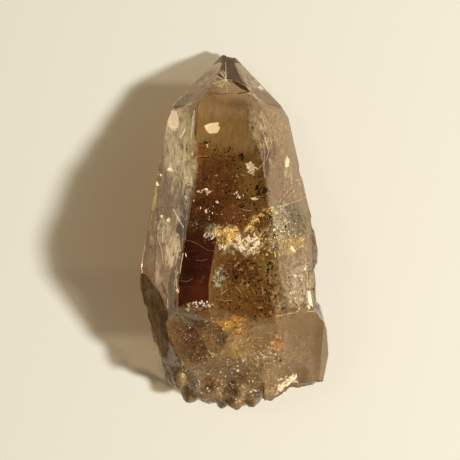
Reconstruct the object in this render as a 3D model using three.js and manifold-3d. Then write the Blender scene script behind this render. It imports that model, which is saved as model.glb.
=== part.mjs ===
// A smoky Lemurian quartz point that lies on one of its prism faces: a tapering six-sided crystal with a chipped
// six-faced tip, ladder ledges across its prism faces, a smaller crystal grown against its lower right side and a base
// where it broke off its matrix. It grew as one piece, so it is one solid.
// Millimetres, +Z up, +Y towards the tip, origin at the surface under the middle of the crystal.
import * as THREE from "three";
import { mergeVertices } from "three/addons/utils/BufferGeometryUtils.js";
import Module from "manifold-3d";

// ---------------------------------------------------------------- driving dimensions: the crystal's corners
const HEART = [0, 0, 11]; // a point deep inside, which tells the inner side of a face from the outer one
const LOBE_HEART = [10, -19, 7]; // the same for the smaller crystal grown against the right side
const STOCK = 90; // side of the block that the faces are cut on

// The chipped tip and the foot of the tip's faces.
const TIP_LEFT = [-1.5, 30.6, 3.0];
const TIP_RIGHT = [0.35, 30.6, 2.9];
const TIP_FOOT_LEFT = [-4.35, 23.3, 11.3];
const TIP_FOOT_RIGHT = [3.2, 23.6, 11.2];
const APEX_FOOT_LEFT = [-2.55, 27.3, 7.6];
const APEX_FOOT_RIGHT = [2.35, 24.8, 10.0];
const TIP_UNDER = [0, 27.4, 0];
const TIP_UNDER_LEFT = [-6.2, 22.8, 0];
const TIP_UNDER_RIGHT = [5.6, 22.2, 0];
const SHOULDER_CHIP = [8.5, 21.7, 6.0];
const SHOULDER_CHIP_TOP = [4.6, 21.1, 12.4];

// Three stations down the prism: the shoulder, the bend and the widest place.
const SHOULDER_TOP_LEFT = [-5.7, 21.1, 12.6];
const SHOULDER_TOP_RIGHT = [4.6, 21.1, 12.6];
const SHOULDER_LEFT = [-10.3, 21.4, 7.3];
const SHOULDER_RIGHT = [9.9, 19.2, 5.6];
const BEND_TOP_LEFT = [-6.5, 4.5, 21.8];
const BEND_TOP_RIGHT = [6.6, 4.5, 21.8];
const BEND_LEFT = [-13.9, 4.7, 11.4];
const BEND_RIGHT = [13.1, 4.7, 11.4];
const BEND_FOOT_LEFT = [-7.0, 4.5, 0];
const BEND_FOOT_RIGHT = [7.2, 4.5, 0];
const WIDEST_TOP_LEFT = [-8.4, -7.2, 24.2];
const WIDEST_TOP_RIGHT = [7.9, -7.2, 24.2];
const WIDEST_LEFT = [-15.4, -7.5, 12.6];
const WIDEST_RIGHT = [14.8, -4.8, 12.6];
const WIDEST_FOOT_LEFT = [-7.6, -7.5, 0];
const WIDEST_FOOT_RIGHT = [7.4, -7.5, 0];

// The broken lower end: a ridge across the top, the slope under it, and the stained break on the left.
const RIDGE_LEFT = [-8.4, -16.4, 22.8];
const RIDGE_RIGHT = [8.2, -17.0, 22.4];
const SLOPE_FOOT = [0, -26.4, 12.0];
const END_TOP = [-1, -28.8, 11.0];
const END_FOOT_LEFT = [-9, -27.2, 2];
const END_FOOT_RIGHT = [6, -28.6, 2];
const END_FOOT_MIDDLE_LEFT = [-5, -28.8, 2];
const END_FOOT_MIDDLE_RIGHT = [1, -30.0, 2];
const STAIN_TOP = [-13.7, -7.4, 15.4];
const STAIN_INNER = [-9.9, -13.0, 21.5];
const STAIN_OUTER = [-14.9, -13.3, 12.5];
const STAIN_FOOT = [-14.3, -15.7, 12.3];
const STAIN_END = [-11.0, -23.4, 10];
const STAIN_END_TOP = [-9.4, -16.6, 20];
const NOTCH_OUTER = [14.8, -4.7, 12.6];
const NOTCH_INNER = [13.4, -6.3, 12.6];
const NOTCH_TOP = [11.2, -5.2, 19];
const BREAK_FOOT = [14.9, -12.6, 11];
const BREAK_TOP = [10.2, -9.0, 21];

// The smaller crystal at the lower right, and the flank of the point that it grew against.
const LOBE_TOP_LEFT = [8.5, -13.5, 17.6];
const LOBE_TOP_RIGHT = [15.0, -14.8, 13.4];
const LOBE_TOP_END = [10.0, -25.6, 11.6];
const LOBE_UPPER_RIGHT = [15.0, -12.4, 10];
const LOBE_UPPER_INNER = [10.5, -9.6, 10];
const LOBE_RIGHT = [16.2, -16.4, 9];
const LOBE_RIGHT_LOW = [16.5, -20.4, 8];
const LOBE_RIGHT_END = [15.4, -26.2, 8];
const LOBE_END = [6.3, -27.9, 8];
const LOBE_RIM_TOP = [14.6, -18.5, 12.9];
const LOBE_RIM_END = [13.6, -25.4, 11.2];
const LOBE_RIM_RIGHT = [16.4, -19.0, 9.4];
const LOBE_HEAD_TOP = [12.4, -11.4, 15.6];
const LOBE_SHOULDER_TOP = [15.6, -15.2, 13.4];
const LOBE_RIGHT_FOOT = [16.7, -18.4, 4];
const LOBE_RIGHT_END_FOOT = [16.2, -22, 3];
const LOBE_END_FOOT = [10, -26.9, 2];
const LOBE_UNDER_HEAD = [16.2, -15, 5];
const LOBE_UNDER_END = [15.8, -24, 5];
const LOBE_FOOT = [9.4, -18, 0];
const LOBE_FOOT_HEAD = [0, -15, 0];
const LOBE_FOOT_END = [5, -25, 0];
const LOBE_INNER_HEAD = [5.5, -12, 5];
const LOBE_INNER_END = [5.5, -25, 5];
const LOBE_INNER_TOP = [5.5, -20, 12];
const FLANK_TOP = [8.6, -12.4, 21.0];
const FLANK_END = [8.2, -24.0, 13.0];
const FLANK_FOOT = [11.4, -18.0, 6.0];
const FLANK_HEAD_OUTER = [15.2, -11.6, 11.0];
const FLANK_HEAD_FOOT = [11.0, -13.2, 4.0];

const PRISM_FACES = {
  topUpper: [SHOULDER_TOP_LEFT, SHOULDER_TOP_RIGHT, BEND_TOP_LEFT],
  top: [BEND_TOP_LEFT, BEND_TOP_RIGHT, WIDEST_TOP_LEFT],
  topLower: [WIDEST_TOP_LEFT, WIDEST_TOP_RIGHT, RIDGE_LEFT],
  left: [BEND_TOP_LEFT, WIDEST_TOP_LEFT, WIDEST_LEFT],
  leftUpper: [SHOULDER_TOP_LEFT, BEND_TOP_LEFT, SHOULDER_LEFT],
  rightUpper: [SHOULDER_TOP_RIGHT, BEND_TOP_RIGHT, BEND_RIGHT],
  right: [BEND_TOP_RIGHT, WIDEST_TOP_RIGHT, WIDEST_RIGHT],
  resting: [BEND_FOOT_LEFT, BEND_FOOT_RIGHT, WIDEST_FOOT_LEFT],
};

// Under each side the upper face and the lower one meet in a hollow edge at the bend.
const UNDER_FACES = {
  underLeftUpper: [SHOULDER_LEFT, BEND_LEFT, BEND_FOOT_LEFT],
  underLeft: [BEND_LEFT, WIDEST_LEFT, BEND_FOOT_LEFT],
  underRightUpper: [SHOULDER_RIGHT, BEND_RIGHT, BEND_FOOT_RIGHT],
  underRight: [BEND_RIGHT, WIDEST_RIGHT, WIDEST_FOOT_RIGHT],
};

const TIP_FACES = {
  apex: [TIP_LEFT, APEX_FOOT_LEFT, APEX_FOOT_RIGHT],
  front: [TIP_FOOT_LEFT, TIP_FOOT_RIGHT, APEX_FOOT_LEFT],
  left: [TIP_LEFT, TIP_FOOT_LEFT, SHOULDER_LEFT],
  right: [TIP_RIGHT, TIP_FOOT_RIGHT, SHOULDER_CHIP],
  under: [TIP_LEFT, TIP_RIGHT, TIP_UNDER],
  underLeft: [TIP_LEFT, SHOULDER_LEFT, TIP_UNDER_LEFT],
  underRight: [TIP_RIGHT, SHOULDER_CHIP, TIP_UNDER_RIGHT],
  shoulder: [SHOULDER_CHIP, SHOULDER_RIGHT, SHOULDER_CHIP_TOP],
};

const BREAK_FACES = {
  slope: [RIDGE_LEFT, RIDGE_RIGHT, SLOPE_FOOT],
  endLeft: [END_TOP, END_FOOT_LEFT, END_FOOT_MIDDLE_LEFT],
  endRight: [END_TOP, END_FOOT_RIGHT, END_FOOT_MIDDLE_RIGHT],
  stain: [STAIN_TOP, STAIN_INNER, STAIN_OUTER],
  stainEnd: [STAIN_FOOT, STAIN_END, STAIN_END_TOP],
};

const LOBE_FACES = {
  top: [LOBE_TOP_LEFT, LOBE_TOP_RIGHT, LOBE_TOP_END],
  rim: [LOBE_RIM_TOP, LOBE_RIM_END, LOBE_RIM_RIGHT],
  head: [LOBE_UPPER_INNER, LOBE_UPPER_RIGHT, LOBE_HEAD_TOP],
  shoulder: [LOBE_UPPER_RIGHT, LOBE_RIGHT, LOBE_SHOULDER_TOP],
  right: [LOBE_RIGHT, LOBE_RIGHT_LOW, LOBE_RIGHT_FOOT],
  rightEnd: [LOBE_RIGHT_LOW, LOBE_RIGHT_END, LOBE_RIGHT_END_FOOT],
  end: [LOBE_RIGHT_END, LOBE_END, LOBE_END_FOOT],
  under: [LOBE_UNDER_HEAD, LOBE_UNDER_END, LOBE_FOOT],
  resting: [LOBE_FOOT_HEAD, LOBE_FOOT_END, LOBE_FOOT],
  inner: [LOBE_INNER_HEAD, LOBE_INNER_END, LOBE_INNER_TOP],
};

// ---------------------------------------------------------------- driving dimensions: relief
// Ladder ledges: shallow steps across a prism face at right angles to the crystal's length, spread between two places
// on the face. A rung is a slab sunk at an angle, so that it ends in a sharp step on one side and runs out on the other.
const RUNG_TILT = 8; // degrees
const RUNG_SKEW = 2.5; // degrees that a rung turns at most out of square with the crystal's length
const RUNG_FILL = 0.6; // share of its step along the face that a rung takes up
const RUNG_UNEVEN = 0.2; // how much the rungs differ in thickness and place
const LADDERS = [
  { face: "left", from: [-7.8, 19.0, 9.5], to: [-11.9, -7.6, 19], rungs: 13, width: 10 },
  { face: "rightUpper", from: [7.0, 17, 10], to: [9.7, 6, 15], rungs: 5, width: 8 },
  { face: "right", from: [10.0, 3, 17], to: [11.2, -4.4, 18], rungs: 4, width: 10 },
  { face: "underLeftUpper", from: [-8.2, 17, 2.6], to: [-10.2, 6, 4.4], rungs: 7, width: 10 },
  { face: "underLeft", from: [-10.6, 3, 6], to: [-11.2, -16, 6.6], rungs: 10, width: 12 },
  { face: "underRightUpper", from: [8.0, 16, 3.0], to: [10.4, 5.5, 5], rungs: 6, width: 9 },
  { face: "underRight", from: [10.8, 2, 6], to: [11.2, -9, 6.5], rungs: 7, width: 11 },
  { face: "top", from: [-2.6, 1.5, 22.1], to: [-3.4, -7.0, 24], rungs: 3, width: 7 },
];

// Where the middle of the crystal lies, from which a shell's way out is measured.
const FLANK_SIDE = 9; // places further right than this belong to the right flank
const FLANK_MIDDLE = 3; // whose middle lies this far to the right
const DEEPEST_Y = -16; // the broken end has its middle here
const MIDDLE_Z = 10;
const SHELL_DETAIL = 12;
const FLAKE_DETAIL = 6;
const ROUGHNESS = 0.35; // how far a shell's surface strays, as a share of its depth

// Conchoidal breaks: wide shells struck off the broken faces, which leave sharp ridges where they meet. Each is a place
// on the surface, the radius of the shell and how deep it dips there.
const SHELLS = [
  { at: [-4.6, -19.6, 19.4], radius: 13, depth: 1.2 },
  { at: [3.4, -20.6, 18.4], radius: 11, depth: 1.0 },
  { at: [7.2, -23.4, 14.6], radius: 8, depth: 0.9 },
  { at: [-0.6, -24.6, 14.0], radius: 10, depth: 1.0 },
  { at: [-7.6, -24.2, 13.4], radius: 8, depth: 0.9 },
  { at: [-5.8, -27.4, 8.0], radius: 9, depth: 0.9 },
  { at: [0.8, -28.6, 8.4], radius: 8, depth: 0.8 },
  { at: [5.6, -27.8, 6.4], radius: 8, depth: 0.8 },
  { at: [-3.4, -28.0, 2.6], radius: 9, depth: 0.7 },
  { at: [-12.4, -10.4, 17.2], radius: 12, depth: 0.7 },
  { at: [-14.4, -12.6, 10.4], radius: 11, depth: 0.3 },
  { at: [-12.4, -17.6, 12.6], radius: 10, depth: 0.7 },
  { at: [-11.2, -21.6, 8.0], radius: 9, depth: 0.7 },
  { at: [12.2, -7.2, 17.4], radius: 7, depth: 0.5 },
  { at: [14.2, -9.4, 12.6], radius: 8, depth: 0.4 },
  { at: [11.4, -10.8, 18.0], radius: 6, depth: 0.5 },
  { at: [9.0, -27.2, 8.6], radius: 8, depth: 0.5 },
  { at: [15.6, -25.0, 5.6], radius: 8, depth: 0.5 },
  { at: [16.4, -18.4, 5.6], radius: 11, depth: 0.5 },
];

// Flakes knocked off the edges: small shells that just graze them.
const FLAKES = [
  { at: [-8.5, -7.9, 24.2], radius: 2.6, depth: 0.45 },
  { at: [-8.5, -11.2, 23.6], radius: 3.2, depth: 0.35 },
  { at: [-7.6, -1.6, 23.1], radius: 2.4, depth: 0.3 },
  { at: [-6.3, 8.6, 19.5], radius: 2.4, depth: 0.3 },
  { at: [-6.1, 13.4, 16.9], radius: 2.8, depth: 0.35 },
  { at: [5.3, 14.8, 16.1], radius: 2.6, depth: 0.3 },
  { at: [7.3, -1.0, 23.1], radius: 3.0, depth: 0.4 },
  { at: [13.7, 2.0, 12.0], radius: 3.2, depth: 0.4 },
  { at: [11.9, 10.4, 9.2], radius: 3.0, depth: 0.4 },
  { at: [-14.2, 2.4, 11.7], radius: 3.0, depth: 0.35 },
  { at: [-12.5, 11.2, 9.8], radius: 2.6, depth: 0.3 },
  { at: [8.4, -13.4, 22.4], radius: 3.4, depth: 0.6 },
  { at: [0.2, 30.5, 3.3], radius: 1.6, depth: 0.25 },
  { at: [-10.2, 20.6, 7.5], radius: 2.4, depth: 0.3 },
];

// Broken knobs and small crystals that stand out round the base, a little flattened and drawn out.
const KNOB_SHAPE = [1, 0.85, 1.15];
const KNOB_DETAIL = 1;
const KNOB_ROUGHNESS = 0.6; // millimetres that its corners stray
const KNOB_GRAIN = 4; // waves across it
const KNOBS = [
  { at: [-9.0, -24.2, 6.6], radius: 2.6, turn: 10 },
  { at: [-6.9, -26.2, 5.0], radius: 2.5, turn: 40 },
  { at: [-4.6, -26.6, 8.2], radius: 2.2, turn: 75 },
  { at: [-3.8, -27.0, 3.8], radius: 2.6, turn: 5 },
  { at: [-1.4, -27.6, 5.2], radius: 2.2, turn: 62 },
  { at: [0.6, -27.6, 7.0], radius: 2.5, turn: 20 },
  { at: [3.6, -26.9, 8.2], radius: 2.3, turn: 55 },
  { at: [3.0, -27.1, 3.6], radius: 2.6, turn: 5 },
  { at: [6.4, -26.2, 4.4], radius: 2.4, turn: 28 },
  { at: [-9.8, -21.6, 5.0], radius: 2.6, turn: 30 },
  { at: [-8.6, -23.8, 11.2], radius: 2.0, turn: 52 },
  { at: [-2.6, -25.2, 10.6], radius: 2.4, turn: 15 },
  { at: [1.4, -25.4, 11.2], radius: 2.2, turn: 34 },
  { at: [5.0, -25.0, 10.0], radius: 2.2, turn: 65 },
  { at: [8.0, -13.0, 17.8], radius: 1.8, turn: 35 },
  { at: [-8.8, -15.4, 16.8], radius: 2.2, turn: 50 },
];

// ---------------------------------------------------------------- solids from three.js geometry
const wasm = await Module();
wasm.setup();

function solidFrom(geometry) {
  const bare = geometry.clone();
  bare.deleteAttribute("normal");
  bare.deleteAttribute("uv");
  const merged = mergeVertices(bare, 1e-4);
  return new wasm.Manifold(
    new wasm.Mesh({
      numProp: 3,
      vertProperties: new Float32Array(merged.attributes.position.array),
      triVerts: new Uint32Array(merged.index.array),
    }),
  );
}

function geometryFrom(solid) {
  const mesh = solid.getMesh();
  const geometry = new THREE.BufferGeometry();
  geometry.setAttribute("position", new THREE.BufferAttribute(new Float32Array(mesh.vertProperties), 3));
  geometry.setIndex(new THREE.BufferAttribute(new Uint32Array(mesh.triVerts), 1));
  return geometry;
}

// The plane through three corners, turned to look away from the heart.
function planeOf(corners, heart = HEART) {
  const plane = new THREE.Plane().setFromCoplanarPoints(...corners.map((corner) => new THREE.Vector3(...corner)));
  return plane.distanceToPoint(new THREE.Vector3(...heart)) > 0 ? plane.negate() : plane;
}

// Everything outside a face, as a block whose inner side lies on it.
function wasteOutside(corners, heart) {
  const { normal } = planeOf(corners, heart);
  const block = new THREE.BoxGeometry(2 * STOCK, 2 * STOCK, 2 * STOCK);
  block.applyQuaternion(new THREE.Quaternion().setFromUnitVectors(new THREE.Vector3(0, 0, 1), normal));
  const middle = new THREE.Vector3(...corners[0]).addScaledVector(normal, STOCK);
  return solidFrom(block.translate(middle.x, middle.y, middle.z));
}

function cutBody(faces, heart) {
  const stock = solidFrom(new THREE.BoxGeometry(STOCK, STOCK, STOCK));
  return faces.reduce((body, face) => body.subtract(wasteOutside(face, heart)), stock);
}

// A bite out of the body between two faces: what lies outside both.
function bite(side, head) {
  return wasteOutside(side).intersect(wasteOutside(head));
}

// A row of shallow slabs sunk into a face, each a little longer or shorter than the last.
function rungsOf({ face, from, to, rungs, width }) {
  const plane = planeOf({ ...PRISM_FACES, ...UNDER_FACES }[face]);
  const { normal } = plane;
  const start = plane.projectPoint(new THREE.Vector3(...from), new THREE.Vector3());
  const end = plane.projectPoint(new THREE.Vector3(...to), new THREE.Vector3());
  const across = new THREE.Vector3(0, 1, 0).cross(normal).normalize();
  const along = new THREE.Vector3().crossVectors(normal, across);
  const step = end.clone().sub(start).divideScalar(rungs);
  const frame = new THREE.Matrix4().makeBasis(across, along, normal);
  return Array.from({ length: rungs }, (_, i) => {
    const uneven = RUNG_UNEVEN * Math.sin(i * 2.4 + width);
    const thickness = step.length() * (RUNG_FILL + uneven);
    const slab = new THREE.BoxGeometry(width * (1 - RUNG_UNEVEN + uneven), thickness, 1);
    slab.translate(0, 0, 0.5);
    slab.rotateX(THREE.MathUtils.degToRad(i % 3 === 2 ? RUNG_TILT : -RUNG_TILT));
    slab.rotateZ(THREE.MathUtils.degToRad(RUNG_SKEW * Math.sin(i * 1.3)));
    slab.applyMatrix4(frame);
    const place = start.clone().addScaledVector(step, i + 0.5 + uneven);
    place.addScaledVector(across, uneven);
    return solidFrom(slab.translate(place.x, place.y, place.z));
  });
}

// Broken quartz is never quite round: every vertex moves in or out a little, by waves across the crystal.
function roughened(geometry, amount, grain) {
  const at = new THREE.Vector3();
  const places = geometry.attributes.position;
  for (let i = 0; i < places.count; i += 1) {
    at.fromBufferAttribute(places, i);
    const wave = Math.sin(grain * at.x + 1.1) + Math.sin(1.3 * grain * at.y) + Math.sin(1.7 * grain * at.z + 2.3);
    at.multiplyScalar(1 + (amount * wave) / (3 * at.length()));
    places.setXYZ(i, at.x, at.y, at.z);
  }
  return geometry;
}

// A ball outside the crystal that dips into it at one place, pushed in along the way out from the crystal's length.
function shell({ at: [x, y, z], radius, depth }, detail) {
  const place = new THREE.Vector3(x, y, z);
  const inside = new THREE.Vector3(x > FLANK_SIDE ? FLANK_MIDDLE : 0, Math.max(y * 0.9, DEEPEST_Y), MIDDLE_Z);
  const outward = place.clone().sub(inside).normalize();
  const ball = roughened(new THREE.IcosahedronGeometry(radius, detail), ROUGHNESS * depth, 11 / radius);
  const middle = place.addScaledVector(outward, radius - depth);
  return solidFrom(ball.translate(middle.x, middle.y, middle.z));
}

function knob({ at: [x, y, z], radius, turn }) {
  const ball = new THREE.IcosahedronGeometry(radius, KNOB_DETAIL);
  const lump = roughened(ball, KNOB_ROUGHNESS, KNOB_GRAIN / radius);
  lump.scale(...KNOB_SHAPE);
  lump.rotateZ(THREE.MathUtils.degToRad(turn));
  lump.rotateX(THREE.MathUtils.degToRad(2 * turn));
  return solidFrom(lump.translate(x, y, z));
}

const faces = [...Object.values(PRISM_FACES), ...Object.values(TIP_FACES), ...Object.values(BREAK_FACES)];
const notch = bite([NOTCH_INNER, BREAK_FOOT, BREAK_TOP], [NOTCH_OUTER, NOTCH_INNER, NOTCH_TOP]);
const flank = bite([FLANK_TOP, FLANK_END, FLANK_FOOT], [FLANK_TOP, FLANK_HEAD_OUTER, FLANK_HEAD_FOOT]);
const lobe = cutBody(Object.values(LOBE_FACES), LOBE_HEART);
const underLeft = bite(UNDER_FACES.underLeftUpper, UNDER_FACES.underLeft);
const underRight = bite(UNDER_FACES.underRightUpper, UNDER_FACES.underRight);
let body = cutBody(faces).subtract(underLeft).subtract(underRight).subtract(notch).subtract(flank).add(lobe);
const shells = SHELLS.map((place) => shell(place, SHELL_DETAIL));
const flakes = FLAKES.map((place) => shell(place, FLAKE_DETAIL));
for (const waste of [...LADDERS.flatMap(rungsOf), ...shells, ...flakes]) {
  body = body.subtract(waste);
}
for (const lump of KNOBS.map(knob)) {
  body = body.add(lump);
}

const crystal = new THREE.Mesh(
  geometryFrom(body),
  new THREE.MeshStandardMaterial({ color: 0x9a7a52, roughness: 0.12, metalness: 0 }),
);
crystal.name = "crystal";

const box = new THREE.Box3().setFromObject(crystal);
const middle = box.getCenter(new THREE.Vector3());
crystal.geometry.translate(-middle.x, -middle.y, -box.min.z);

const part = new THREE.Group();
part.add(crystal);
export default part;
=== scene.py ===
import math
import random

import bmesh
import bpy
from mathutils import Matrix, Vector, noise
from mathutils.bvhtree import BVHTree


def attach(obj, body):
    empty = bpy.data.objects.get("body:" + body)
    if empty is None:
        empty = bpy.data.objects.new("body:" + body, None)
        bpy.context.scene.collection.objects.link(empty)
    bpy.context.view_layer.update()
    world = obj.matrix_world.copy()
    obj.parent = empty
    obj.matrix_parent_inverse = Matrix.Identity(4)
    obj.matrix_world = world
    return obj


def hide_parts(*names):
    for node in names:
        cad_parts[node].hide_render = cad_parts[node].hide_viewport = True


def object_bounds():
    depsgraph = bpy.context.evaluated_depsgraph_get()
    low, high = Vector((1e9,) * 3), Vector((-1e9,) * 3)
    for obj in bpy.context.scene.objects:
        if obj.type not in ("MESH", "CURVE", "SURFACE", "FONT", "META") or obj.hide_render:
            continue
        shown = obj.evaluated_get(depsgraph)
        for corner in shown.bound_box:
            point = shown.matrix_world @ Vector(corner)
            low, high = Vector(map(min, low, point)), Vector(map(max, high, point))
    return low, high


# A smoky Lemurian quartz point that lies on a prism face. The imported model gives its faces, ledges and
# breaks. Here its surface gets frosted breaks and growth lines, and its inside gets what grew in it: a brown
# phantom, a dark column, pale veils, threads, flakes and grit.
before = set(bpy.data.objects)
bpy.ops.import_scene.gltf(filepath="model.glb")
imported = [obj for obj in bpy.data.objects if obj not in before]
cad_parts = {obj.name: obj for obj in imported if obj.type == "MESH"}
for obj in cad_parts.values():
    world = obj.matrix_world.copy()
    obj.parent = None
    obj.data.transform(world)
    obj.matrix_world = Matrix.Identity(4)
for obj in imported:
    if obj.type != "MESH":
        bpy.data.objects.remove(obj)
cad_low, cad_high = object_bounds()

MM = 0.001
BODY = "root"

# Places are given in millimetres from the crystal's own axis: x to the right, y towards the tip, z up from
# the surface that it lies on. The axis lies this far from the frame's origin.
AXIS_X = -0.5964
AXIS_Y = -0.0824

# Long edges as (y, x) at stations from the tip to the base: those of the face that looks up, that of the
# phantom where it draws back from them, and the crystal's own sides.
LEFT_EDGE = [(23.3, -4.35), (21.1, -5.7), (4.5, -6.5), (-7.2, -8.4), (-16.4, -8.4), (-24.0, -8.0)]
RIGHT_EDGE = [(23.6, 3.2), (21.1, 4.6), (4.5, 6.6), (-7.2, 7.9), (-17.0, 8.2), (-24.0, 8.0)]
PHANTOM_RIGHT = [
    (23.3, 3.6), (19.0, 4.1), (16.0, 4.5), (13.0, 5.7),
    (9.0, 6.2), (4.5, 6.6), (-7.2, 7.9), (-17.0, 8.2),
]
LEFT_SIDE = [(21.4, -10.1), (17.7, -11.2), (12.6, -12.4), (4.5, -14.0), (-5.7, -15.4), (-9.3, -15.3)]
RIGHT_SIDE = [
    (21.5, 8.2), (19.0, 9.9), (13.0, 11.1), (6.0, 12.7),
    (-0.2, 14.0), (-4.5, 14.8), (-6.4, 13.5), (-12.0, 14.9),
]
# The dark column under the left half of the upper face, and the stained break at the lower left.
COLUMN_LEFT = [(2.4, -6.7), (-1.2, -7.25), (-5.2, -8.0), (-8.2, -8.35), (-16.4, -8.3), (-22.0, -8.0)]
COLUMN_RIGHT = [(2.4, -2.0), (-1.2, -2.4), (-8.2, -3.6), (-11.0, -3.6), (-16.8, -3.8), (-22.0, -3.6)]
STAIN_LEFT = [(-6.6, -15.2), (-9.3, -15.2), (-13.2, -14.5), (-17.8, -12.6), (-21.0, -11.6)]
STAIN_RIGHT = [(-6.6, -14.2), (-7.9, -13.4), (-9.6, -11.8), (-12.7, -10.2), (-16.0, -9.8), (-21.0, -10.8)]


def spot(x, y, z):
    """A place in the crystal as a point in the frame, in metres."""
    return Vector(((x + AXIS_X) * MM, (y + AXIS_Y) * MM, z * MM))


def along(stations, y):
    """The value that stations give at y, straight between them and level past their ends."""
    if y >= stations[0][0]:
        return stations[0][1]
    for (y_a, value_a), (y_b, value_b) in zip(stations, stations[1:]):
        if y >= y_b:
            return value_a + (value_b - value_a) * (y - y_a) / (y_b - y_a)
    return stations[-1][1]


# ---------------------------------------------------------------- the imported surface, to hang things under
def packed_surface():
    """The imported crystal, ready for asking how high its surface is."""
    bm = bmesh.new()
    bm.from_mesh(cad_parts["crystal"].data)
    tree = BVHTree.FromBMesh(bm)
    bm.free()
    return tree


SURFACE = packed_surface()
ABOVE = 40  # a height over the whole crystal, in millimetres
LEAST_UNDER = 1.5  # how much quartz a thing inside has under it at least, in millimetres


def top_at(x, y):
    """The height of the crystal's upper surface at a place, in millimetres, or None beside the crystal."""
    hit = SURFACE.ray_cast(spot(x, y, ABOVE), Vector((0, 0, -1)))[0]
    return hit.z / MM if hit else None


def settled(x, y, least=LEAST_UNDER, middle=(0, 0), pull=0.015):
    """A place drawn towards a middle until enough quartz lies under it, and the surface's height there."""
    top = top_at(x, y)
    while top is None or top < least:
        x, y = x + pull * (middle[0] - x), y + pull * (middle[1] - y)
        top = top_at(x, y)
    return x, y, top


# ---------------------------------------------------------------- pieces
def piece(name, mesh, material, shadow=True):
    """A new piece that rides with the crystal and takes the finish that it is given."""
    made = bpy.data.objects.new(name, mesh)
    made.visible_shadow = shadow
    bpy.context.scene.collection.objects.link(made)
    mesh.materials.clear()
    mesh.materials.append(material)
    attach(made, BODY)
    return made


def mesh_from(bm, name, smooth=False):
    """The finished mesh. Its faces are turned outwards, but three of the thin sheets still face inwards."""
    bmesh.ops.recalc_face_normals(bm, faces=bm.faces)
    mesh = bpy.data.meshes.new(name)
    bm.to_mesh(mesh)
    bm.free()
    if smooth:
        mesh.shade_smooth()
    else:
        mesh.shade_flat()
    return mesh


# ---------------------------------------------------------------- node helpers
def new_material(name):
    """A new material, its shader, and a bench to lay its nodes on."""
    material = bpy.data.materials.new(name)
    material.use_nodes = True
    return material, material.node_tree.nodes["Principled BSDF"], Bench(material.node_tree)


def new_group(name, inputs, outputs):
    """A new node group: a bench to lay its nodes on, what it is given, and the sockets for what it gives."""
    group = bpy.data.node_groups.new(name, "ShaderNodeTree")
    for label, kind, value in inputs:
        socket = group.interface.new_socket(label, in_out="INPUT", socket_type="NodeSocket" + kind)
        socket.default_value = value
    for label in outputs:
        group.interface.new_socket(label, in_out="OUTPUT", socket_type="NodeSocketFloat")
    given, gives = group.nodes.new("NodeGroupInput"), group.nodes.new("NodeGroupOutput")
    return Bench(group), given.outputs, gives.inputs


class Bench:
    """A short way to lay nodes in one tree: every call makes a node, feeds it and gives its output."""

    def __init__(self, tree):
        self.tree = tree

    def feed(self, socket, value):
        if isinstance(value, bpy.types.NodeSocket):
            self.tree.links.new(value, socket)
        else:
            socket.default_value = value

    def fill(self, shader, values):
        """Feeds a shader's sockets by their names."""
        for label, value in values.items():
            self.feed(shader.inputs[label], value)

    def node(self, kind, settings=None, out=0, **fed):
        made = self.tree.nodes.new("ShaderNode" + kind)
        for key, value in (settings or {}).items():
            setattr(made, key, value)
        for key, value in fed.items():
            numbered = key[0] == "i" and key[1:].isdigit()
            self.feed(made.inputs[int(key[1:]) if numbered else key.replace("_", " ")], value)
        return made.outputs[out]

    def math(self, operation, a, b=0.0, c=0.0):
        return self.node("Math", {"operation": operation}, i0=a, i1=b, i2=c)

    def vector(self, operation, a, b=(0, 0, 0), out=0):
        return self.node("VectorMath", {"operation": operation}, out, i0=a, i1=b)

    def scaled(self, vector, amount):
        return self.node("VectorMath", {"operation": "SCALE"}, i0=vector, Scale=amount)

    def ramp(self, value, low, high, to_low=0.0, to_high=1.0):
        settings = {"interpolation_type": "SMOOTHSTEP"}
        return self.node("MapRange", settings, i0=value, i1=low, i2=high, i3=to_low, i4=to_high)

    def blend(self, share, a, b):
        made = self.tree.nodes.new("ShaderNodeMix")
        made.data_type = "RGBA"
        self.feed(made.inputs[0], share)
        for socket, value in ((made.inputs[6], a), (made.inputs[7], b)):
            self.feed(socket, value if isinstance(value, bpy.types.NodeSocket) else (*value, 1))
        return made.outputs[2]

    def noise(self, vector, scale, detail, roughness, out=0):
        """A smooth noise. Its output 0 is a value and its output 1 a colour, for three values that differ."""
        fed = {"Vector": vector, "Scale": scale, "Detail": detail, "Roughness": roughness}
        return self.node("TexNoise", None, out, **fed)

    def cells(self, vector, scale, feature="F1", out=0):
        return self.node("TexVoronoi", {"feature": feature}, out, Vector=vector, Scale=scale)

    def group(self, group, out, **fed):
        made = self.tree.nodes.new("ShaderNodeGroup")
        made.node_tree = group
        for key, value in fed.items():
            self.feed(made.inputs[key.replace("_", " ")], value)
        return made.outputs[out]

    def millimetres(self):
        """Object coordinates in millimetres from the crystal's axis."""
        place = self.scaled(self.node("TexCoord", None, "Object"), 1 / MM)
        return self.vector("SUBTRACT", place, (AXIS_X, AXIS_Y, 0))

    def plan(self):
        """The same coordinates without their height, for looks that are the same all the way down."""
        return self.vector("MULTIPLY", self.millimetres(), (1, 1, 0))

    def part(self, vector, axis):
        """One part of a vector: 0 is across the crystal, 1 along it and 2 up."""
        return self.node("SeparateXYZ", None, axis, Vector=vector)

    def torn_across(self, noise, tear):
        """How far across a hung sheet a point lies, 0 at its left to 1 at its right, torn by a noise."""
        across = self.part(self.node("TexCoord", None, "UV"), 0)
        return self.math("MULTIPLY_ADD", noise, tear, self.math("SUBTRACT", across, tear / 2))

    def turned(self, vector, middle, turn):
        """The same coordinates from a middle, turned about the upright, so that x runs along a patch."""
        moved = self.vector("SUBTRACT", vector, middle)
        return self.node("VectorRotate", {"rotation_type": "Z_AXIS"}, Vector=moved, Angle=-turn)


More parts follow.
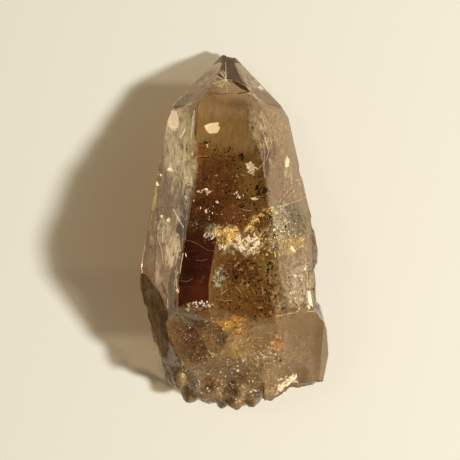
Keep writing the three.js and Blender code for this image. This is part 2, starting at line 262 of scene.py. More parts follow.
def rgb(red, green, blue):
    """A colour given as it looks on a screen, 0 to 255, as the linear colour that shaders take."""
    shares = [v / 255 for v in (red, green, blue)]
    return tuple(((v + 0.055) / 1.055) ** 2.4 if v > 0.04 else v / 12.92 for v in shares)


# The share of the light that reaches what lies inside the quartz, and the palest a colour there can be.
INSIDE_LIGHT = 0.8
PALEST = 0.92


def inside(red, green, blue):
    """The colour of a thing inside the quartz that then looks like this on a screen."""
    wished = [v / INSIDE_LIGHT for v in rgb(red, green, blue)]
    over = max(1.0, max(wished) / PALEST)
    return tuple(v / over for v in wished)


# ---------------------------------------------------------------- shared effects
def zone_group():
    """A soft oval patch with a wandering edge, 1 inside and 0 outside."""
    bench, given, gives = new_group(
        "zone",
        [
            ("At", "Vector", (0, 0, 0)),
            ("Middle", "Vector", (0, 0, 0)),
            ("Reach", "Vector", (1, 1, 1)),
            ("Softness", "Float", 0.3),
            ("Wander", "Float", 0.6),
            ("Grain", "Float", 0.6),
        ],
        ["Mask"],
    )
    drift = bench.noise(given["At"], given["Grain"], 3, 0.6, 1)
    drift = bench.scaled(bench.vector("SUBTRACT", drift, (0.5, 0.5, 0.5)), given["Wander"])
    moved = bench.vector("ADD", given["At"], drift)
    away = bench.vector("DIVIDE", bench.vector("SUBTRACT", moved, given["Middle"]), given["Reach"])
    length = bench.vector("LENGTH", away, out=1)
    inner = bench.math("SUBTRACT", 1.0, given["Softness"])
    outer = bench.math("ADD", 1.0, given["Softness"])
    bench.feed(gives["Mask"], bench.ramp(length, inner, outer, 1.0, 0.0))
    return bench.tree


def grit_group():
    """Small specks: 1 in a share of the cells, each a small spot in its cell's middle."""
    bench, given, gives = new_group(
        "grit",
        [
            ("At", "Vector", (0, 0, 0)),
            ("Fineness", "Float", 3),
            ("Share", "Float", 0.2),
            ("Size", "Float", 0.3),
        ],
        ["Mask"],
    )
    distance = bench.cells(given["At"], given["Fineness"])
    tint = bench.cells(given["At"], given["Fineness"], out=1)
    chance = bench.node("SeparateColor", None, 0, Color=tint)
    smallest = bench.math("MULTIPLY", given["Size"], 0.7)
    spotty = bench.ramp(distance, smallest, given["Size"], 1.0, 0.0)
    picked = bench.math("LESS_THAN", chance, given["Share"])
    bench.feed(gives["Mask"], bench.math("MULTIPLY", spotty, picked))
    return bench.tree


def threads_group():
    """Thin curved lines that come and go, like the rims of cracks."""
    bench, given, gives = new_group(
        "threads",
        [
            ("At", "Vector", (0, 0, 0)),
            ("Fineness", "Float", 0.6),
            ("Width", "Float", 0.03),
            ("Bend", "Float", 1.0),
            ("Share", "Float", 0.5),
        ],
        ["Mask"],
    )
    bend = bench.vector("SUBTRACT", bench.noise(given["At"], 0.5, 2, 0.6, 1), (0.5, 0.5, 0.5))
    moved = bench.vector("ADD", given["At"], bench.scaled(bend, given["Bend"]))
    rim = bench.cells(moved, given["Fineness"], "DISTANCE_TO_EDGE")
    line = bench.ramp(rim, 0.0, given["Width"], 1.0, 0.0)
    gap = bench.math("SUBTRACT", 1.0, given["Share"])
    there = bench.ramp(bench.noise(given["At"], 1.1, 2, 0.6), gap, bench.math("ADD", gap, 0.08))
    bench.feed(gives["Mask"], bench.math("MULTIPLY", line, there))
    return bench.tree


def crumple_group():
    """A crumpled veil: bright folds that cross each other, and dark pits between them."""
    bench, given, gives = new_group(
        "crumple", [("At", "Vector", (0, 0, 0)), ("Fineness", "Float", 1.0)], ["Fold", "Pit"]
    )
    fine, at = given["Fineness"], given["At"]
    wide = bench.math("ABSOLUTE", bench.math("SUBTRACT", bench.noise(at, fine, 3, 0.6), 0.5))
    finer = bench.noise(bench.vector("ADD", at, (13, 5, 8)), bench.math("MULTIPLY", fine, 2.1), 2, 0.6)
    narrow = bench.math("ABSOLUTE", bench.math("SUBTRACT", finer, 0.5))
    broad_folds = bench.ramp(wide, 0.0, 0.05, 1.0, 0.0)
    small_folds = bench.ramp(narrow, 0.0, 0.055, 0.8, 0.0)
    bench.feed(gives["Fold"], bench.math("MAXIMUM", broad_folds, small_folds))
    low = bench.noise(bench.vector("ADD", at, (5, 27, 2)), bench.math("MULTIPLY", fine, 1.5), 3, 0.65)
    bench.feed(gives["Pit"], bench.ramp(low, 0.38, 0.5, 1.0, 0.0))
    return bench.tree


CRUMPLE = crumple_group()
ZONE = zone_group()
GRIT = grit_group()
THREADS = threads_group()


# ---------------------------------------------------------------- the quartz itself
# What a lamp's light keeps where it enters the quartz and where it leaves it again.
ENTRY_TINT = (0.45, 0.42, 0.36, 1)
EXIT_TINT = (0.88, 0.85, 0.80, 1)
QUARTZ_IOR = 1.544
GLOSS_TINT = (1.0, 0.85, 0.6, 1)
SMOKE_TINT = (0.83, 0.56, 0.22, 1)
SMOKE_DENSITY = 45


def finish_glass(material, shader, bench):
    """Lets lamps shine straight through the quartz, so that what grew inside is lit as by daylight."""
    entry = bench.node("BsdfTransparent", Color=ENTRY_TINT)
    leave = bench.node("BsdfTransparent", Color=EXIT_TINT)
    from_inside = bench.node("NewGeometry", None, "Backfacing")
    for_bounce = bench.node("LightPath", None, "Is Diffuse Ray")
    for_lamp = bench.node("LightPath", None, "Is Shadow Ray")
    lamp_way = bench.node("MixShader", i0=from_inside, i1=entry, i2=leave)
    seen = bench.node("MixShader", i0=for_bounce, i1=shader.outputs[0], i2=leave)
    shown = bench.node("MixShader", i0=for_lamp, i1=seen, i2=lamp_way)
    bench.feed(material.node_tree.nodes["Material Output"].inputs["Surface"], shown)


def thin_shadow(material, keep):
    """Lets part of the lamps' light past a thing inside the quartz, as its cracks and thin places would."""
    nodes, bench = material.node_tree.nodes, Bench(material.node_tree)
    for_lamp = bench.node("LightPath", None, "Is Shadow Ray")
    open_way = bench.node("BsdfTransparent", Color=(*keep, 1))
    shown = bench.node("MixShader", i0=for_lamp, i1=nodes["Principled BSDF"].outputs[0], i2=open_way)
    bench.feed(nodes["Material Output"].inputs["Surface"], shown)
    return material


def clear_quartz():
    """The body's smoky glass: frosted and rippled where it broke, bright and finely lined where it grew."""
    material, shader, bench = new_material("clear_quartz")
    at = bench.millimetres()
    end = {"Middle": (0, -25, 8), "Reach": (15.5, 12.5, 30), "Softness": 0.14, "Wander": 3.0}
    stain = {"Middle": (-13.4, -15.5, 12), "Reach": (3.6, 8.5, 10), "Softness": 0.15}
    side = {"Middle": (14.2, -8.6, 12), "Reach": (2.6, 4.2, 8), "Softness": 0.2}
    end, stain, side = (bench.group(ZONE, "Mask", At=at, **zone) for zone in (end, stain, side))
    frost = bench.math("MAXIMUM", bench.math("MAXIMUM", end, stain), side)
    patchy = bench.ramp(bench.noise(at, 0.9, 4, 0.65), 0.35, 0.7, 0.14, 0.45)
    # Growth lines run across the faces, close together and uneven. The breaks are rippled instead.
    lines = bench.noise(bench.vector("MULTIPLY", at, (0.12, 3.2, 0.12)), 1.0, 3, 0.7)
    swell = bench.noise(bench.vector("MULTIPLY", at, (0.5, 0.25, 0.5)), 1.0, 2, 0.5)
    ripple = bench.noise(at, 2.2, 5, 0.7)
    flat = bench.math("ADD", bench.math("MULTIPLY", lines, 0.1), bench.math("MULTIPLY", swell, 0.35))
    rough = bench.math("MULTIPLY", ripple, 0.8)
    height = bench.node("Mix", {"data_type": "FLOAT"}, 0, i0=frost, i2=flat, i3=rough)
    bench.fill(shader, {
        "Base Color": (1, 1, 1, 1),
        "IOR": QUARTZ_IOR,
        "Transmission Weight": 1,
        "Specular Tint": GLOSS_TINT,
        "Roughness": bench.math("MULTIPLY_ADD", frost, patchy, 0.01),
        "Normal": bench.node("Bump", None, "Normal", Strength=0.3, Distance=0.4 * MM, Height=height),
    })
    smoke = bench.node("VolumeAbsorption", None, "Volume", Color=SMOKE_TINT, Density=SMOKE_DENSITY)
    bench.feed(material.node_tree.nodes["Material Output"].inputs["Volume"], smoke)
    finish_glass(material, shader, bench)
    return material


# Broken zones of the surface, by middle and half sizes: the end, the stained break and the right break.
BREAKS = [
    ((-1.0, -24.5, 8.0), (13.5, 10.0, 30.0)),
    ((-13.4, -14.5, 12.0), (3.6, 8.5, 12.0)),
    ((14.2, -8.6, 10.0), (2.6, 4.6, 10.0)),
]
BREAK_DEPTH = 0.3  # how deep their relief goes, in millimetres
CELL = 1.1 * MM  # the side of the even cells that the faces are cut to
CUT_SNAP = 0.00001 * MM
FINE_EDGE = 0.5 * MM  # the longest edge in a broken zone
REFINE_PASSES = 2
WEAR_PASSES = 8
SHELL_TOP = -11.6  # how far up towards the tip the milky end reaches, in millimetres
SHELL_PASSES = 5
SHELL_DEPTH = 0.22 * MM


def brokenness(place):
    """How deep the breaks' relief goes at a point in the frame, in millimetres. The underside stays flat."""
    at = place / MM - Vector((AXIS_X, AXIS_Y, 0))
    nearest = min(math.dist([at[i] / reach[i] for i in range(3)], [middle[i] / reach[i] for i in range(3)])
                  for middle, reach in BREAKS)
    inside_break = min(1.0, max(0.0, (1.15 - nearest) / 0.3))
    above_floor = min(1.0, max(0.0, (at.z - 0.8) / 1.5))
    return BREAK_DEPTH * inside_break * above_floor


def cut_to_cells(bm, step):
    """Cuts the whole surface along planes a step apart, so that its large faces become even cells."""
    for axis in range(3):
        across = Vector([float(i == axis) for i in range(3)])
        lowest, highest = cad_low[axis], cad_high[axis]
        for i in range(1, math.ceil((highest - lowest) / step)):
            everything, place = bm.verts[:] + bm.edges[:] + bm.faces[:], across * (lowest + i * step)
            bmesh.ops.bisect_plane(bm, geom=everything, dist=CUT_SNAP, plane_co=place, plane_no=across)


def refine(bm, longest, passes):
    """Splits the long edges in the broken zones a few times, so that they can take fine relief."""
    for _ in range(passes):
        bmesh.ops.triangulate(bm, faces=[face for face in bm.faces if len(face.verts) > 3])
        long_edges = [
            edge for edge in bm.edges
            if edge.calc_length() > longest and brokenness((edge.verts[0].co + edge.verts[1].co) / 2) > 0
        ]
        bmesh.ops.subdivide_edges(bm, edges=long_edges, cuts=1)
    bmesh.ops.triangulate(bm, faces=[face for face in bm.faces if len(face.verts) > 3])


def wear(bm, verts, passes):
    """Rounds the surface off at some of its points, as rubbing does."""
    every_way = {"use_axis_x": True, "use_axis_y": True, "use_axis_z": True}
    for _ in range(passes):
        bmesh.ops.smooth_vert(bm, verts=verts, factor=0.5, **every_way)


def break_relief(bm):
    """Eats small scoops and steps into the broken zones."""
    bm.normal_update()
    moves = []
    for vert in bm.verts:
        depth = brokenness(vert.co)
        if depth > 0:
            at = vert.co / MM
            scoop = abs(noise.noise(at * 0.55)) + 0.5 * abs(noise.noise(at * 1.3 + Vector((7, 3, 5))))
            fine = 0.5 + 0.5 * noise.noise(at * 2.6)
            moves.append((vert, vert.normal * -min(1.0, 0.8 * scoop + 0.35 * fine) * depth * MM))
    for vert, move in moves:
        vert.co += move


def crystal_body(material):
    """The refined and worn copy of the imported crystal. Its mesh is given back too, for the milky end."""
    bm = bmesh.new()
    bm.from_mesh(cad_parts["crystal"].data)
    bmesh.ops.remove_doubles(bm, verts=bm.verts, dist=0.002 * MM)
    bmesh.ops.dissolve_limit(bm, angle_limit=math.radians(0.5), verts=bm.verts, edges=bm.edges)
    cut_to_cells(bm, CELL)
    refine(bm, FINE_EDGE, REFINE_PASSES)
    worn = [vert for vert in bm.verts if brokenness(vert.co) > 0]
    wear(bm, worn, WEAR_PASSES)
    break_relief(bm)
    for vert in bm.verts:
        vert.co = Vector([min(max(vert.co[i], cad_low[i]), cad_high[i]) for i in range(3)])
    core = bm.copy()
    made = piece("crystal_body", mesh_from(bm, "crystal_body"), material)
    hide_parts("crystal")
    return core


def end_shell(core, material):
    """A milky body that fills the broken end: the end's own surface, worn smooth and drawn in a little."""
    everything = core.verts[:] + core.edges[:] + core.faces[:]
    bmesh.ops.bisect_plane(
        core, geom=everything, plane_co=spot(0, SHELL_TOP, 0), plane_no=(0, 1, 0), clear_outer=True
    )
    bmesh.ops.holes_fill(core, edges=[edge for edge in core.edges if edge.is_boundary])
    bmesh.ops.triangulate(core, faces=[face for face in core.faces if len(face.verts) > 3])
    wear(core, core.verts, SHELL_PASSES)
    bmesh.ops.recalc_face_normals(core, faces=core.faces)
    core.normal_update()
    moves = [vert.normal * SHELL_DEPTH for vert in core.verts]
    for vert, move in zip(core.verts, moves):
        vert.co -= move
    return piece("end_haze", mesh_from(core, "end_haze", smooth=True), material)


# ---------------------------------------------------------------- finishes of what grew inside
# What a lamp's light keeps behind a grain, and behind a thin haze.
HALF_SHADOW = (0.72, 0.66, 0.58)
FAINT_SHADOW = (0.9, 0.87, 0.82)


def mineral(name, tints, grain=1.2, roughness=0.4, gloss=0.1, glow=0.0):
    """A finish for grains, plates and threads: three tints that drift into each other, and a faint painted
    glow, painted light for the glints of their facets.
    """
    material, shader, bench = new_material(name)
    at = bench.millimetres()
    drift = bench.ramp(bench.noise(at, grain, 3, 0.6), 0.38, 0.62)
    fine = bench.ramp(bench.noise(at, grain * 3.7, 2, 0.6), 0.35, 0.7)
    colour = bench.blend(drift, inside(*tints[0]), inside(*tints[1]))
    colour = bench.blend(fine, colour, inside(*tints[2]))
    bench.fill(shader, {
        "Base Color": colour, "Roughness": bench.math("MULTIPLY_ADD", fine, 0.25, roughness),
        "Specular IOR Level": gloss, "Emission Color": colour, "Emission Strength": glow,
    })
    return thin_shadow(material, HALF_SHADOW)


def film_finish(name, tints, middle, reach, turn=0.0, cover=0.9, grain=1.2, stretch=(1, 1, 1),
                bare=(0.4, 0.6), softness=0.35, folds=0.0, pits=0.0, glow=0.0):
    """A thin film in an oval patch. It breaks up into holes and streaks and thins out to its rim."""
    material, shader, bench = new_material(name)
    at = bench.turned(bench.millimetres(), (*middle, 0), math.radians(turn))
    drawn = bench.vector("MULTIPLY", at, stretch)
    drift = bench.ramp(bench.noise(drawn, grain, 4, 0.65), 0.35, 0.65)
    fine = bench.ramp(bench.noise(drawn, grain * 2.9, 3, 0.6), 0.4, 0.68)
    colour = bench.blend(drift, inside(*tints[0]), inside(*tints[1]))
    colour = bench.blend(bench.math("MULTIPLY", fine, 1.0 - 0.6 * folds), colour, inside(*tints[2]))
    if pits:
        pit = bench.math("MULTIPLY", bench.group(CRUMPLE, "Pit", At=drawn, Fineness=grain), pits)
        colour = bench.blend(pit, colour, inside(*[0.55 * v for v in tints[1]]))
    if folds:
        fold = bench.math("MULTIPLY", bench.group(CRUMPLE, "Fold", At=drawn, Fineness=grain), folds)
        colour = bench.blend(fold, colour, inside(*tints[2]))
    # The patch is flat for its mask, so that its height never counts.
    flat = bench.vector("MULTIPLY", at, (1, 1, 0))
    mask = bench.group(ZONE, "Mask", At=flat, Reach=(*reach, 1), Softness=softness, Wander=0.9, Grain=1.1)
    holes = bench.ramp(bench.noise(bench.vector("ADD", drawn, (31, 17, 5)), grain * 1.3, 4, 0.7), *bare)
    # The painted glow is painted light: it lifts films that lie in shade, and paints highlights.
    bench.fill(shader, {
        "Base Color": colour, "Roughness": 0.45, "Specular IOR Level": 0.06,
        "Emission Color": colour, "Emission Strength": glow,
        "Alpha": bench.math("MULTIPLY", bench.math("MULTIPLY", mask, holes), cover),
    })
    return thin_shadow(material, FAINT_SHADOW)


# ---------------------------------------------------------------- inside: sheets and films
WAVER = 0.12  # how far a hung sheet wavers up and down, in millimetres
WAVER_FINENESS = 0.35
LOWEST = 0.6  # the least height of a sheet over the floor, in millimetres
FILM_MARGIN = 1.3  # how far a film's mesh goes past its patch, which fades out before that
FILM_PULL = 0.1


def doubled_grid(columns, rows):
    """A flat grid, a second one grown from it and closed round its rim, and the second one's points."""
    bm = bmesh.new()
    bmesh.ops.create_grid(bm, x_segments=columns, y_segments=rows, size=1)
    grown = bmesh.ops.extrude_face_region(bm, geom=bm.faces[:])["geom"]
    return bm, {part for part in grown if isinstance(part, bmesh.types.BMVert)}


def hung_sheet(name, material, span, left, right, depth, grid, thickness=0.15, inset=(0.1, 0.25), sag=0.0,
               keel=0.0, shadow=True):
    """A closed sheet hung under the surface between two long edges. A keel makes it deep in its middle."""
    bm, under = doubled_grid(*grid)
    spread = bm.loops.layers.uv.new("spread")
    for face in bm.faces:
        for loop in face.loops:
            loop[spread].uv = ((loop.vert.co.x + 1) / 2, (loop.vert.co.y + 1) / 2)
    for vert in bm.verts:
        u, v = vert.co.x, (vert.co.y + 1) / 2
        y = span[0] + (span[1] - span[0]) * v
        low, high = along(left, y) + inset[0], along(right, y) - inset[1]
        x, y, top = settled(low + (high - low) * (u + 1) / 2, y)
        waver = WAVER * noise.noise(Vector((x * WAVER_FINENESS, y * WAVER_FINENESS, depth)))
        z = top - depth - sag * (1 - u * u) + waver
        if vert in under:
            # The keel runs out over the last eighth at each end, and stops short of the underside.
            ends = min(1.0, v * 8, (1 - v) * 8)
            z = max(z - thickness - keel * (1 - u * u) * ends, LOWEST)
        vert.co = spot(x, y, z)
    return piece(name, mesh_from(bm, name, smooth=True), material, shadow)


def film(name, tints, middle, reach, turn, depth, relief, thickness=0.05, steps=36, least=0.12, **look):
    """An oval film at a depth under the surface, lumpy by its relief, never nearer the surface than least."""
    material = film_finish(name, tints, middle, reach, turn, **look)
    bm, under = doubled_grid(steps, steps)
    way = math.radians(turn)
    for vert in bm.verts:
        u = vert.co.x * math.sqrt(1 - vert.co.y ** 2 / 2) * reach[0] * FILM_MARGIN
        v = vert.co.y * math.sqrt(1 - vert.co.x ** 2 / 2) * reach[1] * FILM_MARGIN
        x = middle[0] + u * math.cos(way) - v * math.sin(way)
        y = middle[1] + u * math.sin(way) + v * math.cos(way)
        wide, fine = Vector((x * 1.1, y * 1.1, depth)), Vector((x * 2.9, y * 2.9, 3))
        lump = relief * (noise.noise(wide) + 0.5 * noise.noise(fine))
        x, y, top = settled(x, y, depth + LEAST_UNDER, middle, FILM_PULL)
        z = min(top - depth + lump, top - least)
        vert.co = spot(x, y, z - (thickness if vert in under else 0))
    return piece(name, mesh_from(bm, name, smooth=True), material, shadow=False)


def skin(name, tints, middle, reach, turn, depth, **look):
    """A smooth film at the surface itself, as a stain or a dull break makes it. One of them is painted light
    on a shaded facet.
    """
    return film(name, tints, middle, reach, turn, depth, relief=0, thickness=0.03, least=0, **look)


# ---------------------------------------------------------------- inside: shards, plates and needles
HANDFUL = 60
SHARD_UNDER = 0.6  # how much quartz a shard has under it at least, in millimetres
# How shards lie where a patch doesn't say: its turn and their tilt in degrees, how much longer than wide they
# can be, their thickness as a share of their width, and how far they stray from that turn, in radians.
LIE = {"turn": 0, "tilt": 50, "stretch": 1, "flat": 0.25, "stray": math.pi}


def pour(hand, whole):
    """Adds the shapes in hand to the whole and empties the hand. A small hand keeps the making quick."""
    mesh = bpy.data.meshes.new("handful")
    hand.to_mesh(mesh)
    hand.clear()
    whole.from_mesh(mesh)
    bpy.data.meshes.remove(mesh)


def patch(at, reach, count, size, depth=(0.3, 1.2), **lie):
    """An oval patch of shards: its middle, half sizes, how many, how large, how deep, and how they lie."""
    return {"at": at, "reach": reach, "count": count, "size": size, "depth": depth, **lie}


def shards(name, material, patches, seed, lumpy=False, **shared):
    """Many small broken plates or lumps, strewn in clumps under the upper surface, as one piece."""
    chance = random.Random(seed)
    whole, hand = bmesh.new(), bmesh.new()
    for area in patches:
        area = {**LIE, **shared, **area}
        turn, most_tilt = math.radians(area["turn"]), math.radians(area["tilt"])
        for i in range(area["count"]):
            if i % HANDFUL == 0:
                pour(hand, whole)
            angle, share = chance.uniform(0, math.tau), math.sqrt(chance.random())
            u, v = area["reach"][0] * share * math.cos(angle), area["reach"][1] * share * math.sin(angle)
            x = area["at"][0] + u * math.cos(turn) - v * math.sin(turn)
            y = area["at"][1] + u * math.sin(turn) + v * math.cos(turn)
            size = area["size"][0] + (area["size"][1] - area["size"][0]) * chance.random() ** 1.8
            depth, drawn = chance.uniform(*area["depth"]), chance.uniform(1, area["stretch"])
            spin = turn + chance.uniform(-1, 1) * area["stray"]
            tilt, lean, sides = chance.uniform(-1, 1), chance.uniform(-1, 1), chance.randint(4, 6)
            lonely = noise.noise(Vector((x * 0.8, y * 0.8, seed))) < chance.uniform(-0.5, 0.15)
            top = top_at(x, y)
            if top is None or top < depth + SHARD_UNDER or lonely:
                continue
            lie = Matrix.Translation(spot(x, y, top - depth)) @ Matrix.Rotation(spin, 4, "Z")
            lie = lie @ Matrix.Rotation(tilt * most_tilt, 4, "X")
            lie = lie @ Matrix.Rotation(lean * most_tilt, 4, "Y")
            lie = lie @ Matrix.Diagonal((size * drawn * MM, size * MM, size * area["flat"] * MM, 1))
            if lumpy:
                bmesh.ops.create_icosphere(hand, subdivisions=1, radius=1, matrix=lie)
            else:
                bmesh.ops.create_cone(
                    hand, cap_ends=True, segments=sides, radius1=1, radius2=0.7, depth=1, matrix=lie
                )
    pour(hand, whole)
    hand.free()
    return piece(name, mesh_from(whole, name), material, shadow=False)


def plates(name, material, outlines, depth=0.4, thickness=0.08):
    """Flat crystals and films with corners of their own, each under the surface at one depth."""
    bm = bmesh.new()
    for outline in outlines:
        places = [settled(x, y) for x, y in outline]
        corners = [bm.verts.new(spot(x, y, top - depth)) for x, y, top in places]
        # These new corners have no normals that the thickness could follow, so both sides lie at one place.
        bmesh.ops.solidify(bm, geom=[bm.faces.new(corners)], thickness=thickness * MM)
    return piece(name, mesh_from(bm, name), material, shadow=False)


NEEDLE_STEP = 0.8  # the longest straight piece of a thread, about, in millimetres
NEEDLE_OVERLAP = 1.04


def needles(name, material, runs, depth):
    """Thin threads under the surface. A run is a thickness in millimetres and the places that it passes."""
    bm = bmesh.new()
    for thickness, places in runs:
        points = []
        for (x_a, y_a), (x_b, y_b) in zip(places, places[1:]):
            steps = max(1, int(math.hypot(x_b - x_a, y_b - y_a) / NEEDLE_STEP))
            points += [(x_a + (x_b - x_a) * i / steps, y_a + (y_b - y_a) * i / steps) for i in range(steps)]
        points.append(places[-1])
        spots = [spot(x, y, top - depth) for x, y, top in (settled(x, y) for x, y in points)]
        for a, b in zip(spots, spots[1:]):
            way = b - a
            lie = Matrix.Translation((a + b) / 2) @ way.to_track_quat("Z", "Y").to_matrix().to_4x4()
            bmesh.ops.create_cone(
                bm, cap_ends=True, segments=4, radius1=thickness * MM / 2, radius2=thickness * MM / 2,
                depth=way.length * NEEDLE_OVERLAP, matrix=lie,
            )
    return piece(name, mesh_from(bm, name), material, shadow=False)


# ---------------------------------------------------------------- finishes of the sheets
def lay_zones(bench, at, colour, zones):
    """Lays soft zones of colour over one another: tint, middle, half sizes, softness, wander and strength."""
    for tint, middle, reach, softness, wander, most in zones:
        shape = {"Middle": (*middle, 0), "Reach": (*reach, 1), "Softness": softness, "Wander": wander}
        mask = bench.group(ZONE, "Mask", At=at, **shape)
        colour = bench.blend(bench.math("MULTIPLY", mask, most), colour, inside(*tint))
    return colour


def mottle(bench, at, colour, dark, light, strength=0.5):
    """Breaks a colour up with streaks, blotches, specks and threads, as iron stains and small cracks do."""
    streak = bench.noise(bench.vector("MULTIPLY", at, (1.7, 0.45, 1)), 1.1, 4, 0.65)
    colour = bench.blend(bench.ramp(streak, 0.42, 0.66, 0.0, strength), colour, inside(*dark))
    blotch = bench.noise(bench.vector("ADD", at, (40, 11, 3)), 0.9, 5, 0.7)
    colour = bench.blend(bench.ramp(blotch, 0.52, 0.72, 0.0, strength), colour, inside(*light))
    grain = bench.noise(bench.vector("ADD", at, (9, 51, 0)), 3.2, 3, 0.7)
    colour = bench.blend(bench.ramp(grain, 0.5, 0.72, 0.0, strength), colour, inside(*dark))
    return bench.blend(bench.ramp(grain, 0.28, 0.48, strength, 0.0), colour, inside(*light))


def phantom_cloud():
    """The brown phantom: khaki and hazy near the tip, red-brown on the left, dusted with dark grit."""
    material, shader, bench = new_material("phantom_cloud")
    at = bench.plan()
    colour = lay_zones(bench, at, inside(138, 108, 64), [
        ((158, 132, 94), (-0.2, 21.8), (8.0, 2.4), 0.6, 1.5, 0.95),
        ((152, 122, 78), (3.0, 13.5), (2.2, 3.6), 0.4, 1.0, 0.8),
        ((104, 70, 30), (1.2, 3.0), (8.5, 10.5), 0.16, 1.6, 1.0),
        ((122, 92, 44), (3.2, 8.8), (2.6, 3.0), 0.5, 1.4, 0.8),
        ((118, 62, 24), (-4.9, 12.9), (1.4, 1.7), 0.4, 0.6, 0.8),
        ((126, 96, 48), (-2.4, 13.2), (1.6, 1.3), 0.4, 0.6, 0.9),
        ((84, 44, 16), (-2.6, 7.6), (4.0, 5.0), 0.3, 1.4, 0.9),
        ((56, 17, 6), (-4.2, 2.4), (3.6, 3.6), 0.25, 1.2, 1.0),
        ((34, 8, 3), (-5.4, 0.8), (2.4, 2.2), 0.5, 0.8, 0.95),
        ((92, 50, 18), (0.8, 2.6), (2.8, 1.8), 0.4, 1.2, 0.8),
        ((98, 66, 24), (3.0, -9.0), (6.5, 6.6), 0.25, 1.6, 1.0),
        ((124, 96, 48), (5.6, -5.6), (1.6, 1.8), 0.5, 1.0, 0.9),
        ((74, 28, 8), (1.2, -6.0), (3.1, 1.8), 0.3, 1.2, 1.0),
        ((54, 16, 5), (3.6, -6.6), (0.9, 0.8), 0.5, 0.6, 0.9),
        ((84, 44, 16), (5.0, -10.6), (3.6, 2.6), 0.5, 1.2, 0.8),
        ((80, 46, 18), (-0.5, -11.0), (2.6, 1.8), 0.5, 1.2, 0.7),
        ((138, 108, 60), (4.6, -15.6), (2.6, 1.4), 0.4, 0.8, 0.9),
        ((150, 96, 34), (0.2, -15.6), (2.2, 1.2), 0.5, 1.4, 0.8),
        ((130, 100, 58), (0.5, -19.5), (9, 2.6), 0.5, 1.4, 0.8),
    ])
    y = bench.part(at, 1)
    # The khaki haze near the tip is calmer than the rest.
    calm = bench.ramp(y, 9.0, 16.0, 0.5, 0.28)
    colour = mottle(bench, at, colour, (52, 24, 8), (150, 114, 56), calm)
    creased = bench.ramp(y, -3.0, -6.0, 0.08, 0.3)
    folds = bench.math("MULTIPLY", bench.group(CRUMPLE, "Fold", At=at, Fineness=0.8), creased)
    colour = bench.blend(folds, colour, inside(146, 110, 56))
    dust = bench.group(GRIT, "Mask", At=at, Fineness=1.9, Share=0.34, Size=0.4)
    dusty = bench.ramp(bench.noise(at, 0.55, 3, 0.6), 0.44, 0.6)
    below = bench.ramp(y, 13.0, 15.0, 1.0, 0.0)
    dust = bench.math("MULTIPLY", bench.math("MULTIPLY", dust, dusty), below)
    colour = bench.blend(dust, colour, inside(24, 10, 4))
    lines = bench.group(THREADS, "Mask", At=at, Fineness=0.75, Width=0.035, Bend=1.6, Share=0.42)
    low = bench.ramp(y, 1.0, 4.0, 1.0, 0.25)
    lines = bench.math("MULTIPLY", bench.math("MULTIPLY", lines, low), 0.75)
    colour = bench.blend(lines, colour, inside(206, 166, 92))
    ends = bench.math("MULTIPLY", bench.ramp(y, 19.5, 23.2, 1.0, 0.0), bench.ramp(y, -22.0, -17.5))
    # Along the upper right the haze thins out to a torn rim.
    torn = bench.torn_across(bench.noise(at, 0.8, 4, 0.65), 0.4)
    gone = bench.math("MULTIPLY", bench.ramp(torn, 0.84, 0.98), bench.ramp(y, 7.0, 11.0))
    bench.fill(shader, {
        "Base Color": colour, "Roughness": bench.math("ADD", calm, 0.1), "Specular IOR Level": 0.04,
        "Alpha": bench.math("MULTIPLY", ends, bench.math("SUBTRACT", 1.0, gone)),
    })
    return thin_shadow(material, (0.74, 0.69, 0.62))


def column_stain():
    """The dark column: nearly black red-brown, paler and streaked below the sparkling band."""
    material, shader, bench = new_material("column_stain")
    at = bench.plan()
    colour = lay_zones(bench, at, inside(54, 18, 7), [
        ((34, 8, 3), (-7.0, -4.8), (1.7, 3.4), 0.5, 1.0, 0.9),
        ((66, 26, 10), (-5.0, -9.6), (1.6, 1.6), 0.5, 1.0, 0.8),
        ((74, 38, 16), (-6.0, -14.6), (4.6, 2.4), 0.2, 1.0, 1.0),
        ((98, 68, 34), (-6.0, -19.6), (4.8, 3.2), 0.35, 1.4, 1.0),
    ])
    streak = bench.noise(bench.vector("MULTIPLY", at, (0.5, 1.9, 1)), 1.0, 4, 0.65)
    colour = bench.blend(bench.ramp(streak, 0.5, 0.72, 0.0, 0.4), colour, inside(90, 42, 18))
    colour = bench.blend(bench.ramp(streak, 0.3, 0.46, 0.6, 0.0), colour, inside(26, 6, 3))
    lines = bench.group(THREADS, "Mask", At=at, Fineness=0.6, Width=0.03, Bend=2.2, Share=0.4)
    colour = bench.blend(bench.math("MULTIPLY", lines, 0.35), colour, inside(140, 84, 48))
    y = bench.part(at, 1)
    top = bench.ramp(bench.math("MULTIPLY_ADD", bench.noise(at, 0.9, 3, 0.6), 3.0, y), 0.2, 2.6, 1.0, 0.0)
    bench.fill(shader, {
        "Base Color": colour, "Roughness": 0.5, "Specular IOR Level": 0.02,
        "Alpha": bench.math("MULTIPLY", top, bench.ramp(y, -21.5, -17.5)),
    })
    return thin_shadow(material, (0.84, 0.8, 0.74))


